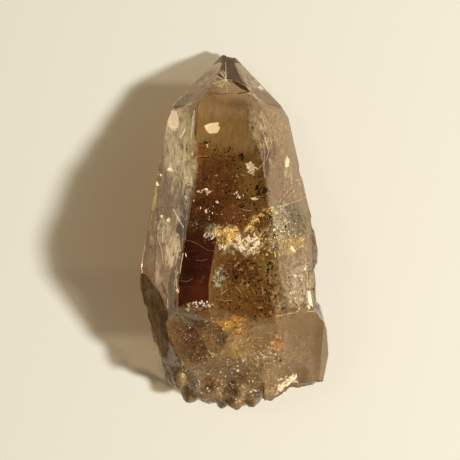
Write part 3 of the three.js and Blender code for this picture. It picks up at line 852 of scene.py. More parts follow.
def end_milk():
    """The milky brown of the broken end and of the lobe beside it. It thins out where the phantom shows."""
    material, shader, bench = new_material("end_milk")
    at = bench.plan()
    colour = lay_zones(bench, at, inside(100, 73, 38), [
        ((124, 100, 68), (-8.0, -24.0), (3.4, 4.0), 0.5, 1.4, 0.9),
        ((90, 60, 24), (-3.4, -24.6), (1.6, 1.6), 0.5, 0.8, 0.9),
        ((116, 90, 56), (2.0, -27.2), (8.0, 1.8), 0.5, 1.4, 0.7),
        ((86, 54, 24), (-5.6, -18.8), (2.9, 2.8), 0.4, 1.2, 0.95),
        ((66, 32, 13), (-5.8, -14.4), (2.8, 2.4), 0.2, 0.8, 1.0),
        ((92, 56, 22), (-2.6, -14.0), (1.4, 2.2), 0.4, 0.8, 0.9),
        ((126, 100, 66), (-10.8, -15.4), (2.3, 5.4), 0.25, 0.8, 0.95),
        ((110, 80, 40), (4.4, -15.2), (3.4, 1.8), 0.4, 0.8, 0.9),
        ((122, 99, 68), (7.8, -21.6), (2.4, 4.0), 0.5, 1.4, 0.9),
        ((114, 92, 65), (12.6, -18.5), (4.4, 8.0), 0.12, 0.6, 1.0),
        ((92, 72, 44), (14.9, -19.0), (1.2, 4.6), 0.6, 1.0, 0.7),
    ])
    across, up = bench.part(at, 0), bench.part(at, 1)
    # The lobe at the right is calmer than the broken end.
    rough = bench.ramp(across, 8.0, 10.5, 0.42, 0.16)
    colour = mottle(bench, at, colour, (58, 36, 14), (148, 120, 80), rough)
    folds = bench.math("MULTIPLY", bench.group(CRUMPLE, "Fold", At=at, Fineness=1.3), rough)
    torn = bench.math("MULTIPLY_ADD", bench.noise(at, 0.5, 4, 0.65), 4.0, up)
    low = bench.ramp(torn, -12.4, -10.9, 1.0, 0.0)
    lobe = {"Middle": (12.8, -19.2, 0), "Reach": (5, 6.8, 1), "Softness": 0.06, "Wander": 0.3}
    lobe = bench.group(ZONE, "Mask", At=at, **lobe)
    left = bench.math("MULTIPLY", bench.ramp(across, -8.3, -8.7), bench.ramp(torn, -12.0, -9.0, 1.0, 0.0))
    there = bench.math("MAXIMUM", bench.math("MAXIMUM", low, lobe), left)
    patchy = bench.ramp(bench.noise(at, 0.7, 4, 0.65), 0.35, 0.6, 0.86, 1.0)
    bench.fill(shader, {
        "Base Color": bench.blend(folds, colour, inside(154, 128, 88)), "Roughness": 0.6,
        "Specular IOR Level": 0.1, "Alpha": bench.math("MULTIPLY", there, patchy),
    })
    return thin_shadow(material, FAINT_SHADOW)


def rust_stain():
    """The rusty crust on the lower left break, drawn down in streaks."""
    material, shader, bench = new_material("rust_stain")
    at = bench.turned(bench.plan(), (0, 0, 0), math.radians(-68))
    streak = bench.noise(bench.vector("MULTIPLY", at, (0.5, 2.2, 1)), 0.8, 4, 0.65)
    colour = bench.blend(bench.ramp(streak, 0.35, 0.65), inside(106, 76, 40), inside(146, 118, 80))
    grain = bench.noise(at, 3.0, 3, 0.7)
    colour = bench.blend(bench.ramp(grain, 0.5, 0.7, 0.0, 0.6), colour, inside(76, 52, 24))
    bench.fill(shader, {
        "Base Color": colour, "Roughness": 0.8, "Specular IOR Level": 0.2,
        "Alpha": bench.ramp(streak, 0.3, 0.6, 0.75, 0.98),
    })
    return thin_shadow(material, (0.85, 0.8, 0.72))


def wisps(name, pale, dark, pale_most, dark_most, stretch, glow, fading):
    """Faint pale and smoky streaks in the clear strips. Their glow is painted light, standing for light that
    the floor sends up.
    """
    material, shader, bench = new_material(name)
    at = bench.plan()
    drawn = bench.vector("MULTIPLY", at, stretch)
    pale_mask = bench.ramp(bench.noise(drawn, 0.6, 4, 0.6), 0.5, 0.7, 0.0, pale_most)
    fine = bench.ramp(bench.noise(drawn, 1.9, 4, 0.7), 0.56, 0.7, 0.0, pale_most * 0.7)
    pale_mask = bench.math("MAXIMUM", pale_mask, fine)
    smoky = bench.noise(bench.vector("ADD", drawn, (23, 7, 0)), 1.2, 5, 0.7)
    dark_mask = bench.ramp(smoky, 0.5, 0.7, 0.0, dark_most)
    lines = bench.group(THREADS, "Mask", At=drawn, Fineness=0.6, Width=0.03, Bend=1.5, Share=0.5)
    pale_mask = bench.math("MAXIMUM", pale_mask, bench.math("MULTIPLY", lines, pale_most * 1.4))
    both = bench.math("ADD", bench.math("ADD", pale_mask, dark_mask), 0.001)
    colour = bench.blend(bench.math("DIVIDE", pale_mask, both), inside(*dark), inside(*pale))
    # They thin out to the crystal's side.
    rim = bench.ramp(bench.torn_across(bench.noise(at, 0.9, 3, 0.6), 0.3), *fading)
    bench.fill(shader, {
        "Base Color": colour, "Roughness": 0.5, "Specular IOR Level": 0.3,
        "Emission Color": colour, "Emission Strength": glow,
        "Alpha": bench.math("MULTIPLY", bench.math("MAXIMUM", pale_mask, dark_mask), rim),
    })
    return thin_shadow(material, (0.96, 0.95, 0.93))


# ---------------------------------------------------------------- studio
FLOOR_REACH = 1.5
FLOOR_DROP = 0.05 * MM  # keeps the floor clear of the crystal's flat underside
FLOOR_COLOUR = (0.80, 0.77, 0.66, 1)
ROOM_COLOUR = (1.0, 0.93, 0.80, 1)
ROOM_STRENGTH = 0.10
LAMP_AWAY = 0.9
LAMP_TARGET = Vector((0, 0, 0.01))
# A long lens right over the crystal, in millimetres.
SENSOR = 36
LENS = 144.2
EYE = (-0.17, 0.5, 320)


def paper_floor():
    bm = bmesh.new()
    bmesh.ops.create_grid(bm, x_segments=1, y_segments=1, size=FLOOR_REACH)
    bmesh.ops.translate(bm, verts=bm.verts, vec=(0, 0, -FLOOR_DROP))
    mesh = bpy.data.meshes.new("floor")
    bm.to_mesh(mesh)
    bm.free()
    material, shader, bench = new_material("pale_paper")
    bench.fill(shader, {"Base Color": FLOOR_COLOUR, "Roughness": 0.9, "Specular IOR Level": 0.1})
    mesh.materials.append(material)
    floor = bpy.data.objects.new("floor", mesh)
    bpy.context.scene.collection.objects.link(floor)


def lamp(name, way, size, power, colour):
    """A round lamp that hangs a set way off and shines on the crystal."""
    data = bpy.data.lights.new(name, "AREA")
    data.shape = "DISK"
    data.size = size
    data.energy = power
    data.color = colour
    made = bpy.data.objects.new(name, data)
    made.location = Vector(way).normalized() * LAMP_AWAY
    made.rotation_euler = (LAMP_TARGET - made.location).to_track_quat("-Z", "Y").to_euler()
    bpy.context.scene.collection.objects.link(made)


def studio():
    world = bpy.data.worlds.new("soft_room")
    bpy.context.scene.world = world
    world.use_nodes = True
    world.node_tree.nodes["Background"].inputs["Color"].default_value = ROOM_COLOUR
    world.node_tree.nodes["Background"].inputs["Strength"].default_value = ROOM_STRENGTH
    lamp("key", (0.968, -0.264, 1.0), 0.09, 10.5, (1.0, 0.96, 0.90))
    lamp("fill", (-0.5, 0.2, 0.85), 0.3, 0.6, (1.0, 0.86, 0.62))
    bpy.context.scene.view_settings.view_transform = "Standard"


def camera():
    data = bpy.data.cameras.new("camera")
    data.sensor_width = SENSOR
    data.lens = LENS
    made = bpy.data.objects.new("camera", data)
    made.location = spot(*EYE)
    bpy.context.scene.collection.objects.link(made)
    bpy.context.scene.camera = made


camera()
studio()
paper_floor()
end_shell(crystal_body(clear_quartz()), end_milk())

# ---------------------------------------------------------------- the brown bodies
hung_sheet("phantom", phantom_cloud(), (22.9, -21.5), LEFT_EDGE, PHANTOM_RIGHT, 0.9, (50, 150),
           inset=(0.1, 0.05), sag=0.6, keel=18.0)
hung_sheet("dark_column", column_stain(), (2.4, -21.5), COLUMN_LEFT, COLUMN_RIGHT, 0.45, (24, 90), 0.2,
           (0, 0), shadow=False)
hung_sheet("rusty_break", rust_stain(), (-6.8, -20.8), STAIN_LEFT, STAIN_RIGHT, 0.1, (20, 70), 0.1,
           (0.1, 0.1), shadow=False)

# ---------------------------------------------------------------- wisps in the clear strips
# The left wisps glow with painted light.
left_streaks = wisps(
    "left_wisps", (216, 194, 156), (108, 84, 52), 0.6, 0.45,
    stretch=(1.2, 0.3, 1), glow=0.26, fading=(0.0, 0.3),
)
hung_sheet("left_wisps", left_streaks, (20.5, -14.0), LEFT_SIDE, LEFT_EDGE, 0.5, (30, 120), 0.05,
           inset=(0.9, 0.15), shadow=False)
right_streaks = wisps(
    "right_wisps", (186, 164, 130), (94, 72, 42), 0.45, 0.7,
    stretch=(1.2, 0.4, 1), glow=0.0, fading=(1.0, 0.7),
)
hung_sheet("right_wisps", right_streaks, (20.8, -12.0), RIGHT_EDGE, RIGHT_SIDE, 0.5, (30, 120), 0.05,
           inset=(0.1, 0.9), shadow=False)
film("tip_wisps_left", [(150, 118, 72), (108, 78, 40), (190, 162, 120)], (-4.0, 25.0), (3.2, 2.1), 42, 0.4,
     0.1, cover=0.7, grain=0.7, stretch=(0.6, 1.4, 1), bare=(0.38, 0.54), folds=0.4)
film("tip_wisps_right", [(116, 86, 44), (76, 50, 18), (204, 176, 132)], (4.0, 24.6), (3.2, 1.7), -42, 0.4,
     0.1, grain=0.6, stretch=(0.6, 1.4, 1), bare=(0.34, 0.48), folds=0.6, pits=0.5)
film("tip_fan", [(214, 192, 156), (176, 150, 110), (240, 226, 198)], (-2.1, 26.0), (1.5, 1.3), 20, 0.4, 0.1,
     cover=0.7, grain=1.6, stretch=(2.2, 0.7, 1), bare=(0.44, 0.56), folds=0.5)

# ---------------------------------------------------------------- films
skin("shoulder_band_right", [(74, 46, 16), (48, 28, 8), (142, 110, 64)], (6.0, 22.9), (2.7, 0.85), -31,
     0.01, cover=0.97, grain=1.1, stretch=(0.3, 2.2, 1), bare=(0.34, 0.44), folds=0.5)
skin("shoulder_band_left", [(124, 84, 38), (92, 58, 24), (188, 150, 98)], (-8.2, 22.2), (1.9, 0.7), 36,
     0.01, cover=0.97, grain=1.3, stretch=(0.4, 1.8, 1), bare=(0.34, 0.44), folds=0.4)
skin("foot_skin", [(88, 54, 27), (62, 34, 15), (128, 96, 62)], (-5.8, -15.4), (4.6, 3.2), 0, 0.005,
     steps=60, cover=0.96, grain=0.8, bare=(0.34, 0.5), folds=0.5, pits=0.6, softness=0.75)
skin("foot_skin_right", [(122, 90, 50), (94, 64, 32), (156, 126, 84)], (-0.8, -16.4), (4.4, 2.8), -30,
     0.005, cover=0.92, grain=0.8, bare=(0.3, 0.5), folds=0.5, pits=0.5, softness=0.85)
# Painted highlight: a pale patch under the left shoulder that glows.
film("shoulder_glow", [(232, 210, 172), (214, 188, 146), (246, 230, 200)], (-9.7, 19.2), (0.9, 1.8), 10,
     0.3, 0.1, cover=0.95, grain=0.8, stretch=(1.4, 0.5, 1), bare=(0.2, 0.36), glow=0.45)
# Painted light: pale streaks that glow, to lift the upper left strip out of the phantom's shade.
film("left_glow", [(206, 184, 146), (170, 146, 108), (226, 208, 172)], (-8.6, 14.5), (2.4, 8.5), 5, 0.6,
     0.1, grain=0.7, stretch=(1.6, 0.35, 1), bare=(0.36, 0.54), folds=0.4, glow=0.26)
film("slate_band", [(116, 94, 66), (98, 76, 50), (142, 118, 88)], (7.2, 8.0), (1.3, 4.4), -6, 0.4, 0.1,
     cover=0.85, grain=0.8, stretch=(1.6, 0.4, 1), bare=(0.26, 0.44), softness=0.25)
film("frost_streaks", [(172, 152, 116), (136, 112, 76), (206, 190, 156)], (4.8, 17.0), (1.5, 3.3), 12, 0.45,
     0.25, cover=0.8, grain=0.9, stretch=(1.8, 0.5, 1), bare=(0.44, 0.62), folds=0.6)
film("upper_right_swirl", [(136, 110, 72), (106, 80, 46), (176, 150, 110)], (7.4, 18.0), (2.0, 3.0), 30,
     0.4, 0.15, cover=0.75, grain=0.9, bare=(0.4, 0.56), folds=0.5, pits=0.3)
film("veil_core", [(190, 146, 62), (136, 92, 30), (250, 228, 166)], (-0.5, -0.3), (2.1, 1.5), -8, 0.5, 0.6,
     cover=1.0, grain=0.7, bare=(0.36, 0.44), folds=0.7, pits=0.6)
film("veil_white", [(182, 156, 116), (142, 112, 70), (244, 230, 204)], (2.4, -1.9), (2.0, 1.3), -10, 0.4,
     0.5, cover=1.0, grain=0.7, bare=(0.4, 0.5), folds=0.7, pits=0.5)
film("veil_shade", [(142, 120, 92), (112, 88, 58), (178, 158, 128)], (0.2, -3.1), (2.3, 1.0), -5, 0.6, 0.4,
     grain=0.7, bare=(0.46, 0.6), folds=0.3, softness=0.6)
film("veil_right", [(116, 84, 40), (86, 54, 20), (204, 176, 122)], (4.6, -1.4), (2.4, 2.6), 10, 0.6, 0.5,
     grain=0.65, bare=(0.44, 0.58), folds=0.7, pits=0.5)
film("veil_arm", [(136, 100, 44), (92, 60, 20), (232, 204, 132)], (4.8, 2.7), (3.2, 0.75), 42, 0.5, 0.4,
     grain=0.8, bare=(0.44, 0.56), folds=0.7, pits=0.7)
film("veil_left", [(148, 136, 94), (104, 90, 52), (200, 188, 150)], (-3.2, -0.2), (0.95, 1.5), -15, 0.45,
     0.4, cover=0.95, stretch=(2.0, 0.6, 1), bare=(0.38, 0.48), folds=0.6, pits=0.5)
film("glitter_smoke", [(76, 62, 40), (54, 42, 24), (138, 120, 88)], (10.2, 1.4), (2.0, 3.5), 14, 0.36, 0.15,
     cover=0.97, grain=0.7, bare=(0.26, 0.38), folds=0.5, pits=0.6)
film("glitter_frost", [(112, 94, 64), (80, 62, 36), (198, 182, 148)], (7.8, 1.2), (1.6, 3.6), -8, 0.34,
     0.15, cover=0.95, grain=0.7, bare=(0.4, 0.52), folds=0.55, pits=0.7)
film("glitter_gold", [(116, 90, 46), (84, 60, 26), (200, 172, 112)], (9.4, -1.8), (2.8, 1.5), 10, 0.32,
     0.15, cover=0.92, grain=0.7, bare=(0.42, 0.54), folds=0.6, pits=0.6)
film("side_frost", [(114, 94, 64), (84, 64, 38), (176, 156, 122)], (11.0, -8.6), (2.9, 4.4), 0, 0.36, 0.15,
     cover=0.92, grain=0.5, bare=(0.36, 0.52), folds=0.45, pits=0.4)
film("right_mottle", [(114, 90, 54), (84, 60, 28), (156, 130, 88)], (7.6, -7.6), (1.6, 4.4), 0, 0.36, 0.15,
     grain=0.6, bare=(0.4, 0.54), folds=0.4, pits=0.5)
film("cluster_green", [(104, 96, 58), (74, 60, 28), (196, 196, 164)], (-1.9, -7.3), (0.95, 2.0), -12, 0.4,
     0.3, cover=0.85, grain=0.9, bare=(0.46, 0.58), folds=0.55, pits=0.7)
skin("ember_core", [(146, 88, 30), (100, 58, 20), (214, 156, 70)], (0.3, -14.9), (2.3, 1.3), 8, 0,
     grain=0.7, stretch=(0.7, 1.3, 1), bare=(0.44, 0.56), folds=0.5, pits=0.7, softness=0.5)
# Painted light: a paler skin that glows on a facet which faces away from the lamps, to take away its shade.
skin("foot_painted_light", [(124, 94, 56), (96, 66, 32), (150, 122, 80)], (-1.6, -16.9), (2.3, 2.7), 20, 0.002,
     grain=0.7, bare=(0.3, 0.56), folds=0.4, pits=0.5, softness=0.9, glow=0.35)
skin("foot_skin_top", [(92, 58, 30), (68, 38, 18), (134, 102, 66)], (-6.6, -13.9), (4.2, 1.2), -6, 0.005,
     cover=0.96, grain=0.9, bare=(0.3, 0.42), folds=0.4, softness=0.7)
skin("ember_side", [(150, 96, 54), (114, 70, 36), (204, 156, 106)], (7.4, -17.6), (0.9, 1.5), 25, 0,
     grain=0.9, bare=(0.42, 0.56), folds=0.5, pits=0.5)
# The films in the left strip glow with painted light, which lifts them out of the phantom's shade.
film("pale_patch", [(206, 184, 146), (170, 144, 106), (232, 214, 178)], (-9.4, -3.0), (1.1, 2.6), -8, 0.5,
     0.25, grain=0.9, stretch=(1.9, 0.45, 1), bare=(0.38, 0.54), folds=0.5, glow=0.34)
film("olive_line", [(190, 160, 96), (160, 130, 66), (214, 192, 134)], (-12.9, 6.0), (0.6, 2.2), -4, 0.3,
     0.1, cover=0.8, grain=1.1, stretch=(1.6, 0.6, 1), bare=(0.3, 0.48), glow=0.3)
film("left_cloud", [(184, 164, 122), (146, 122, 84), (220, 204, 166)], (-11.0, 0.6), (1.3, 2.0), -10, 0.4,
     0.2, cover=0.75, grain=1.1, stretch=(1.4, 0.6, 1), bare=(0.42, 0.58), folds=0.6, pits=0.3, glow=0.3)
film("left_smoke", [(122, 96, 64), (100, 74, 44), (154, 128, 92)], (-9.9, 5.4), (2.0, 4.0), -4, 0.45, 0.1,
     cover=0.7, grain=0.8, stretch=(1.6, 0.4, 1), bare=(0.36, 0.54), folds=0.3, glow=0.2)
film("edge_green", [(176, 160, 104), (150, 130, 78), (200, 186, 134)], (-6.9, 15.8), (0.5, 4.6), 4, 0.4,
     0.05, cover=0.7, grain=0.9, stretch=(1.6, 0.4, 1), bare=(0.3, 0.5), glow=0.25)

# ---------------------------------------------------------------- small crystals, flakes and grit
# The painted glow of these finishes is painted light: it stands in for the glints that their facets throw.
# The left strip's sheen and the green glint glow most.
cream = mineral("cream", [(250, 226, 178), (240, 208, 156), (255, 236, 200)], 2.2, 0.5, glow=0.16)
white = mineral("veil_white_lumps", [(228, 206, 166), (176, 148, 104), (252, 240, 216)], 1.1, 0.4, glow=0.05)
painted_sheen = mineral("left_painted_sheen", [(240, 222, 186), (208, 184, 146), (255, 244, 222)], 1.8, 0.4, glow=0.6)
pale = mineral("dull_white", [(184, 162, 128), (150, 126, 94), (216, 198, 168)], 1.8, 0.5)
gold = mineral("veil_gold", [(222, 180, 90), (156, 110, 40), (250, 224, 150)], 1.1, 0.4, glow=0.05)
bright = mineral("glint", [(236, 216, 180), (196, 166, 120), (255, 244, 224)], 1.4, 0.3, 0.3, 0.12)
tan = mineral("tan_flakes", [(126, 94, 50), (98, 68, 32), (160, 128, 78)], 1.3, 0.5)
dark = mineral("dark_grit", [(26, 10, 4), (48, 24, 9), (16, 7, 3)], 1.4, 0.6, 0.0)
burnt = mineral("burnt_gaps", [(96, 66, 28), (118, 86, 42), (72, 44, 16)], 1.4, 0.6, 0.0)
ember = mineral("ember_flakes", [(168, 116, 50), (118, 74, 28), (226, 184, 104)], 1.4, 0.4)
green = mineral("green_glint", [(214, 210, 90), (176, 160, 60), (240, 240, 170)], 2.0, 0.3, glow=0.5)
smoke = mineral("apex_painted_shade", [(82, 44, 6), (94, 56, 14), (58, 26, 2)], 0.9, 0.5, 0.0)

# Painted shade: the dark plate under the apex facet stands in for the dark that the point's back faces
# reflect there.
plates("apex_facet", smoke, [
    [(-1.3, 29.7), (0.3, 29.7), (1.6, 26.2), (3.1, 23.6), (1.6, 24.2), (0.2, 25.4), (-0.8, 25.7),
     (-2.2, 26.6)],
], 0.3, 0.1)
plates("cream_film", cream, [
    [(-4.44, 17.76), (-3.45, 18.17), (-2.14, 18.34), (-2.0, 18.0), (-2.2, 17.8), (-1.81, 17.43),
     (-2.0, 17.0), (-2.22, 16.53), (-3.54, 16.37), (-4.11, 16.94)],
], 0.4, 0.06)
plates("bright_plates", white, [
    [(9.3, 12.9), (9.8, 12.2), (9.5, 11.0), (9.0, 10.9), (9.0, 12.0)],
    [(-4.05, 14.6), (-3.8, 14.6), (-3.75, 14.0), (-4.0, 13.9)],
    [(-4.3, 3.6), (-4.0, 3.9), (-3.85, 3.4), (-4.05, 3.1)],
    [(-2.6, 5.1), (-2.2, 5.2), (-1.95, 4.8), (-2.3, 4.7)],
    [(3.2, 5.6), (3.9, 5.8), (4.2, 5.4), (3.5, 5.3)],
    [(-5.6, 6.8), (-5.2, 6.9), (-5.0, 6.6), (-5.4, 6.5)],
    [(9.3, -2.2), (9.9, -2.0), (10.6, -3.1), (10.1, -3.3)],
    [(12.6, -9.6), (13.1, -9.4), (13.6, -12.2), (12.9, -11.8)],
    [(-7.9, 24.7), (-7.5, 24.8), (-7.2, 24.2), (-7.7, 24.1)],
    [(5.0, 25.4), (5.6, 24.9), (4.9, 24.0), (4.4, 24.5)],
], 0.4, 0.08)
plates("left_plates", painted_sheen, [
    [(-13.2, 8.8), (-12.4, 8.75), (-11.9, 7.9), (-12.8, 8.05)],
    [(-10.7, 10.5), (-10.1, 10.95), (-9.6, 10.6), (-9.5, 10.05), (-9.9, 10.35)],
    [(-12.45, 13.0), (-12.05, 13.1), (-12.0, 12.6), (-12.3, 12.5)],
    [(-11.9, 9.85), (-11.6, 9.9), (-11.55, 9.55), (-11.8, 9.5)],
    [(-10.5, 2.2), (-10.1, 2.5), (-9.9, 2.0), (-10.3, 1.8)],
    [(-11.6, 3.0), (-11.2, 2.9), (-11.3, 2.5), (-11.6, 2.6)],
], 0.35, 0.06)
plates("pale_triangle", pale, [
    [(2.2, 11.4), (3.4, 11.5), (3.9, 10.6), (3.75, 9.2), (3.0, 10.2)],
    [(-1.9, 25.2), (-1.2, 25.3), (-1.4, 24.5), (-2.1, 24.4)],
], 0.4, 0.06)
shards("veil_lumps", white, [
    patch((2.4, -1.7), (2.0, 1.1), 70, (0.08, 0.3), (0.1, 0.5), stretch=3.0),
    patch((-3.1, -0.6), (0.8, 1.3), 26, (0.05, 0.2), (0.15, 0.4), turn=70, stretch=3, stray=0.5),
    patch((4.9, -1.8), (2.2, 2.0), 40, (0.05, 0.2), (0.15, 0.6), stretch=4),
    patch((-2.0, -7.0), (0.8, 1.6), 12, (0.05, 0.18), (0.15, 0.5), stretch=3),
    patch((7.6, 1.6), (1.5, 3.2), 46, (0.05, 0.2), (0.15, 0.6), stretch=3.6),
    patch((1.1, -0.6), (0.5, 0.4), 12, (0.12, 0.26), (0.1, 0.3), stretch=2),
    patch((-1.4, -2.2), (0.8, 0.4), 16, (0.08, 0.24), (0.1, 0.3), stretch=2),
], 3, lumpy=True, flat=0.6)
shards("veil_gold_lumps", gold, [
    patch((-0.6, -0.3), (1.9, 1.2), 70, (0.08, 0.28), (0.1, 0.5), stretch=3),
    patch((3.1, 1.3), (1.4, 0.3), 34, (0.06, 0.2), (0.1, 0.5), turn=48, stretch=4, stray=0.5),
    patch((5.6, 3.4), (1.7, 0.5), 30, (0.05, 0.16), (0.1, 0.5), turn=30, stretch=4, stray=0.6),
    patch((4.6, -1.6), (2.4, 2.0), 34, (0.04, 0.16), (0.2, 0.7), stretch=4),
    patch((9.6, -1.4), (2.6, 1.4), 60, (0.04, 0.2), (0.2, 0.8), stretch=3),
    patch((7.1, -3.4), (0.3, 1.8), 36, (0.06, 0.2), (0.1, 0.3), turn=90, stretch=2.5, stray=0.6),
    patch((10.4, 7.2), (1.2, 2.6), 26, (0.03, 0.1), (0.3, 0.6), turn=60, stretch=7, stray=0.5),
], 4, lumpy=True, flat=0.6)
shards("burnt_gaps", burnt, [
    patch((-0.6, -0.2), (1.8, 1.1), 14, (0.06, 0.2), (0.1, 0.3)),
    patch((2.6, -1.4), (2.0, 1.0), 14, (0.06, 0.2), (0.1, 0.3)),
    patch((4.8, -0.8), (2.2, 2.8), 50, (0.06, 0.26), (0.1, 0.3)),
    patch((5.4, 2.4), (2.4, 0.8), 36, (0.08, 0.34), (0.1, 0.3), turn=40),
    patch((-3.1, -0.4), (0.8, 1.3), 12, (0.04, 0.12), (0.1, 0.3), turn=70, stretch=4, stray=0.4),
    patch((8.4, 0.6), (2.4, 3.6), 60, (0.05, 0.24), (0.1, 0.3)),
    patch((0.2, -15.2), (2.6, 1.5), 50, (0.06, 0.26), (0.03, 0.12),
          turn=10, stretch=3.5, flat=0.3, stray=0.8),
    patch((11.4, -9.0), (2.6, 4.2), 40, (0.05, 0.24), (0.1, 0.4)),
], 13, lumpy=True, stretch=3, flat=0.4)
shards("glitter", bright, [
    patch((8.3, 1.6), (2.6, 4.0), 90, (0.03, 0.18), (0.1, 0.8), stretch=2.5, flat=0.2),
    patch((10.6, -0.6), (2.8, 3.6), 60, (0.03, 0.18), (0.1, 0.8), stretch=2.5, flat=0.2),
    patch((11.6, -9.6), (2.4, 4.2), 110, (0.04, 0.26), (0.1, 0.8), stretch=2.5, flat=0.2),
    patch((1.0, -23.0), (9.6, 5.0), 520, (0.03, 0.13), (0.05, 0.25), stretch=1.6),
    patch((2.0, -19.0), (6.0, 2.4), 110, (0.03, 0.13), (0.05, 0.25), stretch=2),
    patch((-4.4, -15.8), (4.4, 2.8), 90, (0.03, 0.11), (-0.02, 0.01), stretch=1.6),
    patch((-5.6, -11.7), (2.9, 0.7), 120, (0.05, 0.2), (0.1, 0.3), turn=8, stretch=2, flat=0.2),
    patch((-4.1, 6.3), (0.8, 0.9), 40, (0.06, 0.26), (0.2, 0.6), stretch=2, flat=0.3),
    patch((1.2, 6.0), (0.45, 1.3), 26, (0.06, 0.22), (0.2, 0.6), turn=70, stretch=2.5, flat=0.3, stray=0.5),
    patch((4.0, 5.5), (0.9, 0.3), 12, (0.06, 0.2), (0.2, 0.5), flat=0.3),
    patch((3.4, 10.6), (0.9, 1.1), 24, (0.08, 0.22), (0.3, 0.6), tilt=25, stretch=2, flat=0.15),
    patch((2.0, -6.0), (5.5, 9), 70, (0.03, 0.11), (0.15, 1.0), flat=0.3),
    patch((9.5, 8), (2.4, 6.0), 70, (0.02, 0.12), (0.2, 1.2), turn=-70, stretch=4, flat=0.3, stray=0.6),
    patch((13.0, 0.0), (0.9, 5.0), 40, (0.03, 0.12), (0.2, 1.0), turn=-75, stretch=4, flat=0.3, stray=0.4),
], 5)
shards("left_glitter", painted_sheen, [
    patch((-11.0, 4), (2.6, 12), 50, (0.02, 0.09), (0.2, 1.0), turn=84, stretch=6, stray=0.3),
    patch((-10.9, 1.0), (1.6, 1.8), 36, (0.02, 0.10), (0.2, 0.6), turn=60, stretch=4, stray=0.9),
    patch((-7.4, 8.6), (0.5, 0.8), 14, (0.02, 0.09), (0.2, 0.4), turn=-30, stretch=5, stray=0.4),
    patch((-9.2, -3.2), (0.9, 2.0), 24, (0.03, 0.10), (0.2, 0.5), turn=80, stretch=5, stray=0.3),
], 15, flat=0.3)
shards("tan_flakes", tan, [
    patch((3.0, -8.5), (5.0, 7.5), 120, (0.04, 0.24), (0.1, 0.6), tilt=20, flat=0.12),
    patch((1.0, 5.0), (5.5, 6.0), 90, (0.03, 0.18), (0.1, 0.6), tilt=20, stretch=2.5, flat=0.12),
    patch((9.4, 0.8), (3.2, 4.4), 70, (0.05, 0.26), (0.1, 0.8), flat=0.2),
    patch((0.5, -20.5), (10.0, 6.6), 200, (0.05, 0.26), (0.05, 0.25), stretch=2.5, flat=0.2),
    patch((9.6, 8.5), (2.2, 6.0), 70, (0.05, 0.22), (0.3, 1.2), turn=-70, flat=0.15, stray=0.6),
], 9, stretch=3)
shards("grit", dark, [
    patch((-2.4, 13.6), (3.6, 0.9), 110, (0.05, 0.17), (0.15, 0.5), turn=-20),
    patch((0.4, 12.9), (2.2, 1.1), 80, (0.05, 0.17), (0.15, 0.5), turn=-40),
    patch((1.9, 12.2), (0.5, 0.9), 40, (0.1, 0.2), (0.15, 0.4), turn=30),
    patch((-3.9, 15.2), (0.8, 0.4), 30, (0.1, 0.2), (0.15, 0.4), turn=40),
    patch((-0.5, 6.5), (5.4, 5.6), 200, (0.05, 0.18), (0.15, 0.6), stretch=2),
    patch((1.6, 4.8), (0.4, 1.2), 26, (0.08, 0.2), (0.2, 0.6), turn=20),
    patch((5.4, 6.6), (1.0, 1.7), 60, (0.06, 0.2), (0.1, 0.4), turn=60, stretch=4, stray=0.6),
    patch((3.1, -9.6), (4.9, 5.2), 300, (0.05, 0.19), (0.15, 0.6), stretch=2),
    patch((1.0, -7.1), (0.5, 0.35), 20, (0.1, 0.24), (0.2, 0.5)),
    patch((6.3, -5.4), (0.5, 0.7), 26, (0.1, 0.24), (0.2, 0.5)),
    patch((6.2, -9.0), (0.9, 0.9), 50, (0.06, 0.2), (0.2, 0.5)),
    patch((9.9, 1.6), (2.0, 3.2), 50, (0.05, 0.2), (0.1, 0.6), stretch=3),
    patch((6.3, 2.4), (0.4, 0.5), 16, (0.08, 0.22), (0.1, 0.3)),
    patch((11.6, -6.0), (1.6, 1.4), 50, (0.04, 0.13), (0.2, 0.9)),
    patch((-7.0, 14.6), (0.6, 1.6), 16, (0.05, 0.14), (0.2, 0.5)),
    patch((-7.1, 7.8), (0.7, 1.4), 18, (0.04, 0.12), (0.2, 0.5), turn=-30, stretch=3, stray=0.6),
    patch((1.0, -20.5), (8.0, 6.0), 90, (0.03, 0.12), (0.05, 0.2), stretch=2),
    patch((-3.4, -15.6), (4.4, 2.6), 60, (0.03, 0.12), (-0.02, 0.01), stretch=2),
    patch((12.2, -17.5), (2.6, 5.0), 36, (0.03, 0.12), (0.05, 0.2)),
], 6, flat=0.6)
shards("ember_flakes", ember, [
    patch((0.0, -15.1), (2.4, 1.3), 60, (0.05, 0.2), (-0.02, 0.02), tilt=25),
    patch((7.4, -17.8), (0.9, 1.5), 30, (0.05, 0.2), (-0.02, 0.02), tilt=25),
    patch((1.5, -17.6), (1.8, 0.8), 30, (0.04, 0.16), (0.02, 0.1)),
    patch((11.6, -8.6), (2.0, 3.8), 40, (0.04, 0.16), (0.1, 0.4)),
], 7, stretch=3, flat=0.2)
shards("white_streak", white, [
    patch((9.7, -24.9), (1.9, 0.45), 130, (0.06, 0.22), (0.05, 0.2), stretch=3, stray=0.7),
    patch((8.3, -25.9), (0.7, 0.6), 50, (0.06, 0.2), (0.05, 0.2), stretch=2),
], 8, lumpy=True, turn=43, flat=0.4)
shards("green_glint", green, [patch((-7.2, 11.9), (0.3, 0.3), 14, (0.06, 0.18), (0.2, 0.4), flat=0.4)], 11)

